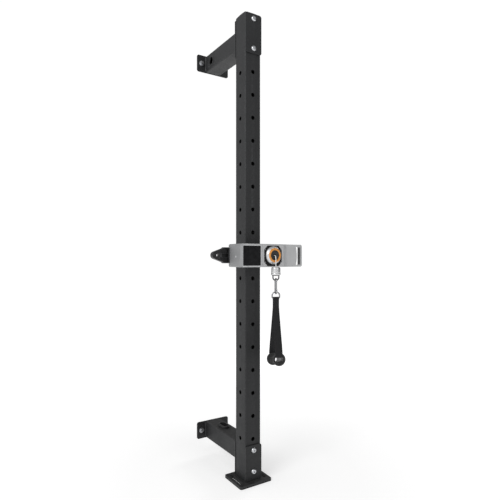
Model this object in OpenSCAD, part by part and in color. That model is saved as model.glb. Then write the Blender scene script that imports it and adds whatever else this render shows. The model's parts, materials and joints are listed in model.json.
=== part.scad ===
// Wall-fixed cable training column: a drilled square post with a sliding carriage,
// a compact motorised resistance unit on the carriage and a strap handle on its cable.
// Millimetres. +X is to the right seen from the front, +Y points at the wall, +Z is up.
// The origin is on the floor, on the axis of the post.

/* [Post] */
// Outside width of the square post
post_w = 80; // [70:1:100]
// Wall of the post and of the two wall arms
tube_wall = 3; // [2:0.5:4]
// Height of the top of the post
post_top = 2041; // [1980:1:2200]
// Diameter of the height holes
hole_d = 18; // [14:1:22]
// Distance between height holes
hole_pitch = 100; // [100:50:150]
// Height of the lowest hole
hole_first = 190; // [185:5:200]
// Number of height holes
hole_count = 17; // [12:1:17]

/* [Base] */
// Width of the floor plate
base_w = 160; // [140:5:240]
// Depth of the floor plate
base_d = 140; // [130:5:240]
// Thickness of the steel floor plate
base_t = 8; // [6:1:12]
// Thickness of the rubber pad under it
pad_t = 4; // [2:1:6]
// Length of the two floor bolt slots
slot_len = 94; // [40:2:100]
// Width of the two floor bolt slots
slot_w = 13; // [9:1:14]

/* [Wall arms] */
// Distance from the post's axis to the wall
wall_y = 334; // [260:2:500]
// Height of the axis of the top arm
top_arm_z = 1945; // [1940:1:1950]
// Height of the axis of the bottom arm
low_arm_z = 125; // [115:1:130]
// Thickness of the clamp plates and wall plates
plate_t = 6; // [4:1:8]
// Width of the wall plates
wall_plate_w = 174; // [160:2:220]
// Distance between the two wall bolts of a plate
wall_bolt_gap = 128; // [120:2:150]

/* [Carriage] */
// Height of the carriage as it stands, at one of the holes
carriage_z = 990; // [990:100:1190]
// Height of the carriage sleeve
sleeve_h = 94; // [80:2:94]
// Gap between the post and the plastic liners
slide_gap = 0.3; // [0.2:0.1:0.6]
// Diameter of the lock pin
pin_d = 16; // [13:1:17]

/* [Resistance unit] */
// Length of the unit along X
unit_w = 324; // [324:1:330]
// Height of the unit
unit_h = 97; // [97:1:100]
// Depth of the unit
unit_d = 90; // [90:1:96]
// Distance from the post's axis to the unit's right end
unit_right = 202; // [202:1:205]
// Distance the handle end is set back from the front
grip_setback = 12; // [6:1:16]
// Wall of the unit's housings
shell_t = 3; // [2:0.5:4]
// Across from the post's axis to the cable outlet
nose_x = 36; // [34:1:38]
// Outside diameter of the coloured ring round the outlet
ring_d = 60; // [56:1:62]

/* [Cable and handle] */
// Diameter of the cable
cable_d = 4; // [3:0.5:5]
// Turn of the hanging hook and handle about the cable
hang_yaw = -23.5; // [-45:0.5:45]
// Length of the grip over its end discs
grip_len = 128; // [110:2:150]
// Diameter of the grip sleeve
grip_d = 41; // [39:1:44]
// Width of the webbing
strap_w = 26; // [20:1:26]
// How far the middle of the grip hangs below the middle of the unit
strap_drop = 434; // [390:2:450]
// Slope of the grip, its near end up
grip_tilt = 11; // [0:1:12]

/* [Hidden] */
$fn = 64;

steel = "#2b2c2e";
silver = "#b9bbbd";
black = "#161616";
zinc = "#c8c9cc";
gold = "#e08a2c";

cut = 0.5;                            // how far a cutter runs past a face
half = post_w / 2;
post_bottom = pad_t + base_t;
corner_r = 5;                         // outside corner of a square tube
arm_y0 = half + plate_t;
arm_y1 = wall_y - plate_t;

// clamp plates and their through bolts
clamp_w = 82;
top_clamp = [1868, post_top];
low_clamp = [post_bottom, 165];
top_bolt_z = [1890, 2019];
low_bolt_z = [51, 143];
bolt_d = 12;
bolt_hole_d = 13;
nut_af = 19;
nut_h = 10;
wall_plate_h = 82;

// carriage
liner_t = 2.2;
liner_in = half + slide_gap;
sleeve_in = liner_in + liner_t;
sleeve_t = 3;
sleeve_out = sleeve_in + sleeve_t;
dock_t = 4.5;
pin_bore_d = pin_d + 0.16;
pin_tip_x = sleeve_in - 1;
pin_head_x = 63;
housing_end_x = 78;
stem_d = 8;
knob_x = [100, 120];

// resistance unit
unit_left = unit_right - unit_w;
unit_back = -(sleeve_out + dock_t);
unit_front = unit_back - unit_d;
wing_back = -38;                      // the unit reaches past the dock plate beside the post
wing_x = 52;
unit_lo = carriage_z - unit_h / 2 - 1;
unit_hi = carriage_z + unit_h / 2 - 1;
inner_half = unit_hi - carriage_z - shell_t;
seam_x = -17.4;
cover_x = unit_left + 7;              // where the left cover meets the screen housing
bulkhead_x = [150, 153];
slot_x = [168.4, 194.5];              // hand slot
slot_half_h = 39.5;
slot_bow = 5;
loop_d = 22;                          // depth of the handle loop
screen_w = 86;
screen_h = 82;
screen_x = -69.6;
bezel_z = carriage_z - 2.5;
bezel_w = 90;
bezel_h = 86;
bezel_cut = 17;
ring_in_d = 42.8;
cone_d = 76;

// cable drum
drum_axis = [nose_x + 38, (unit_front + unit_back) / 2];
wrap_r = 38;
drum_r = 35.7;
flange_r = 41;
drum_half_h = 24;
wraps_each_side = 4;
shaft_d = 10;
bearing_d = 22;

// hanging parts
drop_y = -160;                        // the cable hangs in front of the ring
lip_z = carriage_z - 28;              // where the cable leaves the ring's lip
stopper_z = [carriage_z - 83, carriage_z - 50];
bow_r = 12.5;
bow_rod = 6;
bow_z = carriage_z - 105;             // axis of the bow's bottom rod
hook_rod = 7;
hook_r = 12;
hook_top = bow_z + bow_rod / 2 + hook_rod / 2 + 0.3;
hook_bottom = carriage_z - 160.2;
ring_rod = 6;
ring_r = 16;
ring_top = hook_bottom + hook_rod / 2 + ring_rod / 2 + 0.3;
bar_z = ring_top - ring_r - 9.5;
strap_t = 2.4;
sewn_z = carriage_z - 218;            // bottom of the sewn part of the webbing
grip_z = carriage_z - strap_drop;
core_bore_d = 32;
core_d = 35.4;
disc_d = 53;
disc_t = 8;

// Path of the cable from the drum to the ring's lip: how far front and how far down
lead_path = [
    [-95, 0], [-120, 0], [-138, 0.3], [-146, 2.8], [-152.4, 8.4], [-156.6, 15.3],
    [-159.2, 21.5], [drop_y, 26.2], [drop_y, carriage_z - lip_z]
];
lead_points = [for (p = lead_path) [nose_x, p[0], carriage_z - p[1]]];

// ---- shared shapes ----

// Rectangle with round corners, centred
module round_rect(w, h, r) {
    square([w - 2 * r, h], center = true);
    square([w, h - 2 * r], center = true);
    for (sx = [-1, 1], sy = [-1, 1])
        translate([sx * (w / 2 - r), sy * (h / 2 - r)]) circle(r);
}

// Slot with round ends, long side along Y
module stadium(w, l) {
    square([w, l - w], center = true);
    for (s = [-1, 1]) translate([0, s * (l - w) / 2]) circle(d = w);
}

// Children drawn in XZ and made thick along Y from y0 to y1
module along_y(y0, y1) {
    translate([0, y1, 0]) rotate([90, 0, 0]) linear_extrude(y1 - y0) children();
}

// Children drawn in YZ and made thick along X from x0 to x1
module along_x(x0, x1) {
    translate([x0, 0, 0]) rotate([90, 0, 90]) linear_extrude(x1 - x0) children();
}

// Round bar along X or Y between two places
module rod_x(x0, x1, d) { translate([x0, 0, 0]) rotate([0, 90, 0]) cylinder(d = d, h = x1 - x0); }
module rod_y(y0, y1, d) { translate([0, y0, 0]) rotate([-90, 0, 0]) cylinder(d = d, h = y1 - y0); }

// Unit vector from a to b
function unit(a, b) = (b - a) / norm(b - a);

// Direction of travel at point i of a route
function heading(p, i) =
    unit([0, 0, 0], (i > 0 ? unit(p[i - 1], p[i]) : [0, 0, 0])
        + (i < len(p) - 1 ? unit(p[i], p[i + 1]) : [0, 0, 0]));

// Tube along a route that stays in a plane of constant X
module swept_tube(p, d, sides) {
    rings = [for (i = [0:len(p) - 1]) let (t = heading(p, i), n = cross(t, [1, 0, 0]))
        for (k = [0:sides - 1]) let (a = 360 * k / sides)
            p[i] + d / 2 * (cos(a) * [1, 0, 0] + sin(a) * n)];
    last = (len(p) - 1) * sides;
    polyhedron(rings, concat(
        [[for (k = [0:sides - 1]) k]],
        [for (i = [0:len(p) - 2], k = [0:sides - 1]) let (j = (k + 1) % sides)
            [i * sides + k, (i + 1) * sides + k, (i + 1) * sides + j, i * sides + j]],
        [[for (k = [sides - 1:-1:0]) last + k]]));
}

// Frame of the hanging hook and handle: local X is across the webbing, local Y to the wall
module hanging() { translate([nose_x, drop_y, 0]) rotate([0, 0, hang_yaw]) children(); }

// Frame of the grip: local Y along the grip, its near end at -Y and tilted up
module on_grip() { hanging() translate([0, 0, grip_z]) rotate([-grip_tilt, 0, 0]) children(); }

// ---- post and base ----

module square_tube(length) {
    linear_extrude(length) difference() {
        round_rect(post_w, post_w, corner_r);
        round_rect(post_w - 2 * tube_wall, post_w - 2 * tube_wall, corner_r - tube_wall);
    }
}

module upright() {
    color(steel) difference() {
        translate([0, 0, post_bottom]) square_tube(post_top - post_bottom);
        for (k = [0:hole_count - 1]) translate([0, 0, hole_first + k * hole_pitch]) {
            rod_x(-half - cut, half + cut, hole_d);
            rod_y(-half - cut, half + cut, hole_d);
        }
        for (z = concat(top_bolt_z, low_bolt_z)) translate([0, 0, z])
            rod_y(-half - cut, half + cut, bolt_hole_d);
    }
}

module upright_cap() {
    dome_h = 7;
    dome_r = 300;
    plug_w = post_w - 2 * tube_wall - 0.4;
    color(black) translate([0, 0, post_top]) {
        intersection() {
            linear_extrude(dome_h) round_rect(post_w, post_w, corner_r);
            translate([0, 0, dome_h - dome_r]) sphere(dome_r, $fn = 128);
        }
        translate([0, 0, -14]) linear_extrude(14) difference() {
            round_rect(plug_w, plug_w, 2);
            round_rect(plug_w - 6, plug_w - 6, 2);
        }
    }
}

module floor_outline() {
    difference() {
        round_rect(base_w, base_d, 9);
        for (s = [-1, 1]) translate([s * (base_w / 2 - 20), 0]) stadium(slot_w, slot_len);
    }
}

module base_plate() { color(steel) translate([0, 0, pad_t]) linear_extrude(base_t) floor_outline(); }

module base_pad() { color(black) linear_extrude(pad_t) floor_outline(); }

// ---- clamp plates, arms and wall plates ----

module clamp_plate(y0, span, bolts) {
    color(steel) difference() {
        along_y(y0, y0 + plate_t) translate([0, (span[0] + span[1]) / 2])
            round_rect(clamp_w, span[1] - span[0], 10);
        for (z = bolts) translate([0, 0, z]) rod_y(y0 - cut, y0 + plate_t + cut, bolt_hole_d);
    }
}

module top_front_plate() { clamp_plate(-arm_y0, top_clamp, top_bolt_z); }
module top_back_plate() { clamp_plate(half, top_clamp, top_bolt_z); }
module bottom_front_plate() { clamp_plate(-arm_y0, low_clamp, low_bolt_z); }
module bottom_back_plate() { clamp_plate(half, low_clamp, low_bolt_z); }

// Square arm with weld beads where it meets the plates
module wall_arm(z) {
    bead = 4;
    translate([0, arm_y0, z]) rotate([-90, 0, 0]) square_tube(arm_y1 - arm_y0);
    for (s = [-1, 1], e = [0, 1]) translate([0, e ? arm_y1 : arm_y0, z - half + corner_r])
        linear_extrude(post_w - 2 * corner_r)
            polygon([[s * (half - 1), 0], [s * half, (e ? -1 : 1) * bead],
                [s * (half + (e ? bead : 0.9)), 0]]);
}

side_port = [270, 41];                // middle along the arm and hole diameter
top_port = [215, 60, 32];             // middle along the arm, length and width

module top_arm() {
    color(steel) difference() {
        wall_arm(top_arm_z);
        translate([0, side_port[0], top_arm_z - 2]) rod_x(-half - cut, 0, side_port[1]);
    }
}

module bottom_arm() {
    color(steel) difference() {
        wall_arm(low_arm_z);
        translate([0, top_port[0], low_arm_z + half - tube_wall - cut])
            linear_extrude(tube_wall + 2 * cut) stadium(top_port[2], top_port[1]);
    }
}

// Round edging of the cable port in the top arm
module top_arm_grommet() {
    lip = 3.5;
    bore = side_port[1] - 6;
    color(black) translate([-half, side_port[0], top_arm_z - 2]) rotate([0, -90, 0])
        rotate_extrude() polygon([
            [bore / 2, -tube_wall - 2], [side_port[1] / 2 - 0.1, -tube_wall - 2],
            [side_port[1] / 2 - 0.1, 0], [side_port[1] / 2 + lip, 0],
            [side_port[1] / 2 + lip, 1.4], [side_port[1] / 2 + lip - 1.2, 2.6],
            [bore / 2 + 1, 2.6], [bore / 2, 1.6]]);
}

// Tall edging round the cable port in the bottom arm
module bottom_arm_grommet() {
    rise = 12;
    color(black) translate([0, top_port[0], low_arm_z + half]) {
        linear_extrude(rise) difference() {
            stadium(top_port[2] + 8, top_port[1] + 8);
            stadium(top_port[2] - 6, top_port[1] - 6);
        }
        translate([0, 0, -tube_wall - 2]) linear_extrude(tube_wall + 2) difference() {
            stadium(top_port[2] - 0.2, top_port[1] - 0.2);
            stadium(top_port[2] - 6, top_port[1] - 6);
        }
    }
}

module wall_plate(z) {
    color(steel) difference() {
        along_y(arm_y1, wall_y) translate([0, z]) round_rect(wall_plate_w, wall_plate_h, 9);
        for (s = [-1, 1]) translate([s * wall_bolt_gap / 2, 0, z])
            rod_y(arm_y1 - cut, wall_y + cut, bolt_hole_d);
    }
}

module top_wall_plate() { wall_plate(top_arm_z); }
module bottom_wall_plate() { wall_plate(low_arm_z); }

// Button-head bolts through both clamp plates, heads to the front
module bracket_bolts() {
    head_h = 7;
    color(zinc) for (z = concat(top_bolt_z, low_bolt_z)) translate([0, 0, z]) difference() {
        union() {
            rod_y(-arm_y0, arm_y0 + nut_h + 3, bolt_d);
            translate([0, -arm_y0, 0]) rotate([90, 0, 0]) rotate_extrude()
                polygon([[0, 0], [12, 0], [12, 2], [10.4, 5], [8, head_h], [0, head_h]]);
        }
        translate([0, -arm_y0 - head_h - cut, 0]) rotate([-90, 0, 0])
            cylinder(d = 9.2, h = 4.5 + cut, $fn = 6);
    }
}

module bracket_nuts() {
    color(zinc) for (z = concat(top_bolt_z, low_bolt_z)) translate([0, arm_y0, z])
        rotate([-90, 0, 0]) difference() {
            cylinder(d = nut_af / cos(30), h = nut_h, $fn = 6);
            translate([0, 0, -cut]) cylinder(d = bolt_d + 0.1, h = nut_h + 2 * cut);
        }
}

// Hex-head wall bolts with washers, cut off at the wall
module wall_bolts() {
    color(zinc) for (z = [top_arm_z, low_arm_z], s = [-1, 1])
        translate([s * wall_bolt_gap / 2, arm_y1, z]) rotate([90, 0, 0]) {
            cylinder(d = 26, h = 2);
            translate([0, 0, 2]) cylinder(d = 19, h = 7.5, $fn = 6);
            translate([0, 0, -plate_t]) cylinder(d = bolt_d, h = plate_t);
        }
}

// ---- carriage ----

module square_ring(outer, inner, outer_r, inner_r) {
    difference() {
        round_rect(2 * outer, 2 * outer, outer_r);
        round_rect(2 * inner, 2 * inner, inner_r);
    }
}

module carriage_sleeve() {
    color(steel) difference() {
        translate([0, 0, carriage_z - sleeve_h / 2]) linear_extrude(sleeve_h)
            square_ring(sleeve_out, sleeve_in, corner_r + 5, corner_r + 2);
        translate([0, 0, carriage_z]) rod_x(half, sleeve_out + cut, pin_bore_d);
        dock_holes(-sleeve_out - cut, -half);
    }
}

// Plastic slides in the two ends of the sleeve
module carriage_liners() {
    liner_h = 26;
    color("#d8d6cf") for (s = [-1, 1])
        translate([0, 0, carriage_z + s * (sleeve_h - liner_h) / 2 - liner_h / 2])
            linear_extrude(liner_h)
                square_ring(sleeve_in, liner_in, corner_r + 2, corner_r);
}

dock_screw_x = 34;
dock_screw_z = 36;
dock_screw_d = 6;

module dock_holes(y0, y1, d = dock_screw_d + 0.2) {
    for (sx = [-1, 1], sz = [-1, 1])
        translate([sx * dock_screw_x, 0, carriage_z + sz * dock_screw_z]) rod_y(y0, y1, d);
}

module dock_plate() {
    color(steel) difference() {
        along_y(unit_back, -sleeve_out) translate([-2, carriage_z]) round_rect(220, 84, 6);
        dock_holes(unit_back - cut, -sleeve_out + cut);
        for (s = [-1, 1]) translate([-90, 0, carriage_z + s * 20])
            rod_y(unit_back - cut, -sleeve_out + cut, dock_screw_d + 0.2);
    }
}

// Countersunk-size screws that hold the dock plate and the tongue
module dock_screws() {
    color(zinc) {
        for (sx = [-1, 1], sz = [-1, 1])
            translate([sx * dock_screw_x, 0, carriage_z + sz * dock_screw_z])
                rod_y(unit_back, -sleeve_in, dock_screw_d);
        for (s = [-1, 1]) translate([-90, 0, carriage_z + s * 20])
            rod_y(unit_back, -sleeve_out + 6, dock_screw_d);
    }
}

tongue_tip_x = -202;
tongue_root_x = -123;
tongue_y = [-46, -25.5];
tongue_hole_x = -176.6;
tongue_hole_d = 14;

// Side view of the tongue: wide at the unit, tapering to a round tip
module tongue_outline() {
    tip_r = 15.8;
    polygon(concat(
        [[tongue_root_x, -33.5], [tongue_root_x, 33.5], [-147, 33.5], [-151, 29]],
        [for (a = [110:14:250]) [tongue_tip_x + tip_r + tip_r * cos(a), tip_r * sin(a)]],
        [[-151, -29], [-147, -33.5]]));
}

// Ribbed pockets above and below a flat band, and a recess in the band
module tongue_pockets() {
    for (s = [-1, 1])
        polygon([[-166, s * 9], [-127, s * 9], [-127, s * 28.5], [-146, s * 28.5],
            [-151, s * 24.5], [-166, s * 18]]);
}

module dock_tongue() {
    front_y = tongue_y[0];
    color(black) difference() {
        union() {
            along_y(front_y, tongue_y[1]) translate([0, carriage_z]) tongue_outline();
            along_y(-sleeve_out, -sleeve_out + 6) translate([-96.5, carriage_z])
                square([57, 66], center = true);
        }
        along_y(front_y - cut, front_y + 6) translate([0, carriage_z]) tongue_pockets();
        along_y(front_y - cut, front_y + 10) translate([-143, carriage_z])
            square([30, 14], center = true);
        translate([tongue_hole_x, 0, carriage_z])
            rod_y(front_y - cut, tongue_y[1] + cut, tongue_hole_d);
        for (s = [-1, 1]) translate([-90, 0, carriage_z + s * 20])
            rod_y(-sleeve_out - cut, tongue_y[1] + cut, dock_screw_d + 0.2);
    }
}

module pin_housing() {
    color(steel) translate([0, 0, carriage_z]) difference() {
        union() {
            rod_x(sleeve_out, housing_end_x, 26);
            rod_x(sleeve_out, sleeve_out + 3, 32);
        }
        rod_x(sleeve_out - cut, housing_end_x - 4, pin_bore_d);
        rod_x(housing_end_x - 4 - cut, housing_end_x + cut, stem_d + 0.16);
    }
}

module lock_pin() {
    color(zinc) translate([0, 0, carriage_z]) {
        translate([pin_tip_x, 0, 0]) rotate([0, 90, 0]) cylinder(d1 = pin_d - 3, d2 = pin_d, h = 2);
        rod_x(pin_tip_x + 2, pin_head_x, pin_d);
        rod_x(pin_head_x, knob_x[1] - 4, stem_d);
    }
}

module lock_knob() {
    color(black) translate([0, 0, carriage_z]) difference() {
        translate([knob_x[0], 0, 0]) rotate([0, 90, 0]) rotate_extrude()
            polygon([[0, 0], [9, 0], [12, 5], [15, 8], [15, 17], [13, 20], [0, 20]]);
        rod_x(knob_x[0] - cut, knob_x[1] - 4, stem_d);
    }
}

// ---- resistance unit ----

// Plan of the unit: round front corners, tighter back corners, cut out for the post
module unit_plan() {
    front_r = 8;
    back_r = 3;
    difference() {
        union() {
            translate([unit_left, unit_front + front_r])
                square([unit_w, wing_back - unit_front - front_r - back_r]);
            translate([unit_left + front_r, unit_front]) square([unit_w - 2 * front_r, front_r + 1]);
            translate([unit_left + back_r, wing_back - back_r - 1])
                square([unit_w - 2 * back_r, back_r + 1]);
            for (x = [unit_left + front_r, unit_right - front_r])
                translate([x, unit_front + front_r]) circle(front_r);
            for (x = [unit_left + back_r, unit_right - back_r])
                translate([x, wing_back - back_r]) circle(back_r);
        }
        translate([-wing_x, unit_back]) square([2 * wing_x, 40]);
    }
}

// Outside of the unit's aluminium housings
module unit_outline() {
    mid_x = (unit_left + unit_right) / 2;
    depth = wing_back - unit_front;
    mid_z = (unit_lo + unit_hi) / 2;
    intersection() {
        along_x(unit_left, unit_right) translate([(unit_front + wing_back) / 2, mid_z])
            round_rect(depth, unit_h, 4);
        along_y(unit_front - 1, wing_back + 1) translate([mid_x, mid_z])
            round_rect(unit_w, unit_h, 9);
        translate([0, 0, unit_lo - 1]) linear_extrude(unit_h + 2) unit_plan();
    }
}

module slab(x0, x1, y0, y1, z0, z1) {
    translate([x0, y0, z0]) cube([x1 - x0, y1 - y0, z1 - z0]);
}

// Hollow inside the housings, open to the back
module unit_cavity(x0, x1) {
    slab(x0, x1, unit_front + shell_t, wing_back + 1, unit_lo + shell_t, unit_hi - shell_t);
}

screen_t = 1.8;

module screen_housing() {
    color(silver) difference() {
        intersection() {
            unit_outline();
            slab(cover_x, seam_x, unit_front - 1, wing_back, unit_lo, unit_hi);
        }
        unit_cavity(cover_x - 1, seam_x + 1);
        screen_pocket(0);
        slab(screen_x - screen_w / 2 + 5, screen_x + screen_w / 2 - 5,
            unit_front - 1, unit_front + shell_t + 1,
            carriage_z - screen_h / 2 + 3, carriage_z + screen_h / 2 - 7);
        seam_groove();
    }
}

// Recess that the screen sits in, smaller by the gap given
module screen_pocket(gap) {
    along_y(unit_front - 1, unit_front + screen_t) translate([screen_x, carriage_z - 2])
        round_rect(screen_w - 2 * gap, screen_h - 2 * gap, 3 - gap);
}

module screen() {
    color(black) intersection() {
        screen_pocket(0.2);
        slab(-200, 0, unit_front + 0.2, unit_front + screen_t, unit_lo, unit_hi);
    }
}

// Shallow groove round the joint of the two housings
module seam_groove() {
    depth = 1;
    difference() {
        slab(seam_x - 0.5, seam_x + 0.5, unit_front - 2, unit_back + 2, unit_lo - 2, unit_hi + 2);
        slab(seam_x - 1, seam_x + 1, unit_front + depth, unit_back + 3,
            unit_lo + depth, unit_hi - depth);
    }
}

module bezel_outline(inset = 0) {
    w = bezel_w / 2 - inset;
    h = bezel_h / 2 - inset;
    c = bezel_cut - inset * 0.59;
    polygon([[-w, -h + c], [-w + c, -h], [w - c, -h], [w, -h + c],
        [w, h - c], [w - c, h], [-w + c, h], [-w, h - c]]);
}

// The housing thins towards the handle end behind a concave scoop; wall grows it inwards
module grip_scoop(wall = 0) {
    scoop_r = 45 + wall;
    flat_x = 92 + sqrt(45 * 45 - pow(45 - grip_setback, 2));
    face_y = unit_front + grip_setback + wall;
    slab(flat_x, unit_right + 1, unit_front - 1, face_y, unit_lo - 1, unit_hi + 1);
    intersection() {
        slab(86, flat_x + 0.01, unit_front - 1, face_y, unit_lo - 1, unit_hi + 1);
        translate([flat_x, face_y - scoop_r, unit_lo - 2])
            cylinder(r = scoop_r, h = unit_h + 4, $fn = 128);
    }
}

// Hand slot, its inner side bowed towards the bar
module hand_slot() {
    bow_r2 = (slot_half_h * slot_half_h + slot_bow * slot_bow) / (2 * slot_bow);
    along_y(unit_front - 5, wing_back + 5) translate([0, carriage_z - 2]) difference() {
        translate([(slot_x[0] + slot_x[1]) / 2, 0])
            round_rect(slot_x[1] - slot_x[0], 2 * slot_half_h, 3);
        translate([slot_x[0] + slot_bow - bow_r2, 0]) circle(bow_r2, $fn = 180);
    }
}

insert_t = 2;

module main_housing() {
    color(silver) difference() {
        intersection() {
            unit_outline();
            slab(seam_x, unit_right, unit_front - 1, wing_back, unit_lo, unit_hi);
        }
        difference() {
            unit_cavity(seam_x - 1, bulkhead_x[0]);
            grip_scoop(shell_t);
        }
        slab(bulkhead_x[1], unit_right + 1, unit_front + grip_setback + loop_d, wing_back + 1,
            unit_lo - 1, unit_hi + 1);
        grip_scoop();
        hand_slot();
        insert_pocket(0);
        along_y(unit_front - 1, unit_front + 2) translate([nose_x, bezel_z]) bezel_outline();
        along_y(unit_front - 1, unit_front + shell_t + 1) translate([nose_x, carriage_z]) circle(31);
        seam_groove();
    }
}

// Recess for the dark pad on the inner side of the handle bar
module insert_pocket(gap) {
    face_y = unit_front + grip_setback;
    along_x(slot_x[1] - 1, slot_x[1] + insert_t) translate([face_y + loop_d / 2, carriage_z - 2])
        round_rect(loop_d - 5 - 2 * gap, 2 * slot_half_h - 8 - 2 * gap, 3);
}

module handle_insert() {
    color("#3a3a3a") intersection() {
        insert_pocket(0.15);
        slab(slot_x[1] - 0.4, slot_x[1] + insert_t, -200, 0, unit_lo, unit_hi);
    }
}

button_y = unit_front + 43;
button_z = carriage_z - 6;
button_d = 8;

module left_cover() {
    color(silver) difference() {
        intersection() {
            unit_outline();
            slab(unit_left, cover_x, unit_front - 1, wing_back, unit_lo, unit_hi);
        }
        slab(unit_left + 3.5, cover_x + 1, unit_front + shell_t + 2, unit_back - 3,
            unit_lo + shell_t + 2, unit_hi - shell_t - 2);
        along_x(unit_left - 1, unit_left + 0.8)
            translate([(unit_front + wing_back) / 2, (unit_lo + unit_hi) / 2])
                round_rect(wing_back - unit_front - 16, unit_h - 14, 4);
        slab(unit_left - 1, cover_x + 1, tongue_y[0] - 0.5, wing_back + 1,
            carriage_z - 34, carriage_z + 34);
        translate([0, button_y, button_z]) rod_x(unit_left - 1, unit_left + 5, button_d + 0.16);
    }
}

module power_button() {
    color("#f2f2ee") translate([0, button_y, button_z]) {
        rod_x(unit_left + 0.1, unit_left + 4.6, button_d);
        rod_x(unit_left + 3.9, unit_left + 5.4, button_d + 3);
    }
}

module back_cover() {
    color(black) difference() {
        slab(cover_x + 0.3, bulkhead_x[0] - 0.3, unit_back - 3, unit_back,
            unit_lo + shell_t + 0.3, unit_hi - shell_t - 0.3);
        cover_screw_places() rod_y(unit_back - 4, unit_back + cut, 4.2);
    }
}

module cover_screw_places() {
    for (x = [-105, 142], s = [-1, 1]) translate([x, 0, carriage_z + s * 38]) children();
}

module cover_screws() {
    color(zinc) cover_screw_places() rod_y(unit_back - 8, unit_back, 4);
}

// Flat black plate round the cable outlet
module nose_bezel() {
    color(black) difference() {
        along_y(unit_front - 0.8, unit_front + 2) translate([nose_x, bezel_z]) bezel_outline(0.2);
        along_y(unit_front - 3, unit_front + 3) translate([nose_x, carriage_z]) circle(30);
        bezel_screw_places() rod_y(unit_front - 1, unit_front + 3, 3.2);
    }
}

module bezel_screw_places() {
    for (sx = [-1, 1], sz = [-1, 1])
        translate([nose_x + sx * (bezel_w / 2 - 5), 0, bezel_z + sz * (bezel_h / 2 - 16)])
            children();
}

module bezel_screws() {
    color("#6f7072") bezel_screw_places() {
        rod_y(unit_front - 0.8, unit_front + 2, 3);
        rod_y(unit_front - 2, unit_front - 0.8, 5.4);
    }
}

// Turned cone that carries the ring
module nose_cone() {
    color("#d9dadb") translate([nose_x, unit_front, carriage_z]) rotate([90, 0, 0])
        rotate_extrude($fn = 96) polygon([
            [24.5, -6], [29.8, -6], [29.8, 0.8], [cone_d / 2, 0.8], [cone_d / 2, 3],
            [36.6, 6.5], [33.8, 10], [ring_d / 2 + 0.4, 13.2], [24.5, 13.2]]);
}

module nose_ring() {
    color(gold) translate([nose_x, unit_front, carriage_z]) rotate([90, 0, 0])
        rotate_extrude($fn = 96) polygon([
            [ring_in_d / 2, 13.2], [ring_d / 2, 13.2], [ring_d / 2, 15.2],
            [ring_d / 2 - 0.8, 16], [ring_in_d / 2 + 0.8, 16], [ring_in_d / 2, 15.2]]);
}

// Black trumpet that guides the cable out at any angle
module fairlead() {
    throat = 3.6;
    flare = 13.5;
    lip_r = ring_in_d / 2 - 0.2;
    curve = [for (a = [0:15:90])
        [throat + flare * (1 - cos(a)), flare * sin(a) - 1]];
    color(black) translate([nose_x, unit_front, carriage_z]) rotate([90, 0, 0])
        rotate_extrude($fn = 96) polygon(concat(
            [[24.3, -6], [throat, -6]], curve,
            [[lip_r, 14], [lip_r, 13], [24.3, 13]]));
}

module battery_pack() {
    color("#3f5d7a") {
        slab(-100, -26, unit_back - 42, unit_back - 5, unit_lo + 11, unit_hi - 9);
    }
}

module circuit_board() {
    color("#2c6b3f") slab(-106, -24, unit_front + 14, unit_front + 15.6, unit_lo + 6, unit_hi - 6);
    color(black) for (i = [0:2]) slab(-98 + i * 24, -82 + i * 24, unit_front + 15.6,
        unit_front + 18, carriage_z - 10, carriage_z + 6);
}

// ---- cable drum and motor ----

module at_drum() { translate([drum_axis[0], drum_axis[1], carriage_z]) children(); }

// Two plates and a side post that carry the bearings
module drum_frame() {
    color(silver) difference() {
        union() {
            for (s = [-1, 1]) at_drum() translate([0, 0, s * (inner_half - 4) - 4])
                linear_extrude(8) round_rect(80, 60, 6);
            slab(drum_axis[0] + 44, drum_axis[0] + 50, drum_axis[1] - 20, drum_axis[1] + 20,
                unit_lo + shell_t, unit_hi - shell_t);
            for (s = [0, 1]) translate([0, 0, s ? unit_hi - shell_t - 8 : unit_lo + shell_t])
                slab(drum_axis[0] + 30, drum_axis[0] + 50, drum_axis[1] - 20, drum_axis[1] + 20, 0, 8);
        }
        at_drum() cylinder(d = bearing_d, h = unit_h, center = true);
    }
}

module drum_bearings() {
    color(zinc) at_drum() for (s = [-1, 1])
        translate([0, 0, s * (inner_half - 4) - 3.5]) difference() {
            cylinder(d = bearing_d, h = 7);
            translate([0, 0, -cut]) cylinder(d = shaft_d + 0.06, h = 7 + 2 * cut);
        }
}

// Wound stator inside the drum, fixed to the lower plate
module motor_stator() {
    color("#a8632e") at_drum() difference() {
        union() {
            translate([0, 0, -14]) cylinder(d = 54, h = 32);
            translate([0, 0, 8 - inner_half]) cylinder(d = 30, h = inner_half - 8 - 14);
        }
        cylinder(d = shaft_d + 2, h = unit_h, center = true);
        for (k = [0:11]) rotate([0, 0, k * 30]) translate([25, 0, -15]) cylinder(d = 5, h = 34, $fn = 24);
    }
}

// Bell-shaped drum: the rotor of the motor, with flanges for the cable
module cable_drum() {
    color("#8f9194") at_drum() rotate_extrude($fn = 96) polygon([
        [shaft_d / 2, 22], [28.5, 22], [28.5, -drum_half_h - 3], [flange_r, -drum_half_h - 3],
        [flange_r, -drum_half_h], [drum_r, -drum_half_h], [drum_r, drum_half_h],
        [flange_r, drum_half_h], [flange_r, drum_half_h + 3], [shaft_d / 2, drum_half_h + 3]]);
}

module drum_shaft() {
    color(zinc) at_drum() cylinder(d = shaft_d, h = 2 * inner_half - 1, center = true);
}

// Turns of cable on the drum, drawn as rings, with room for the run that leaves it
module cable_wraps() {
    color("#e9e9e4") at_drum() for (k = [-wraps_each_side:wraps_each_side]) if (k != 0)
        translate([0, 0, k * (cable_d + 0.4)])
            rotate_extrude() translate([wrap_r, 0]) circle(d = cable_d - 0.1, $fn = 24);
}

// ---- cable, stopper and hook ----

module cable_lead() { color("#f0f0ec") swept_tube(lead_points, cable_d, 8); }

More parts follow.
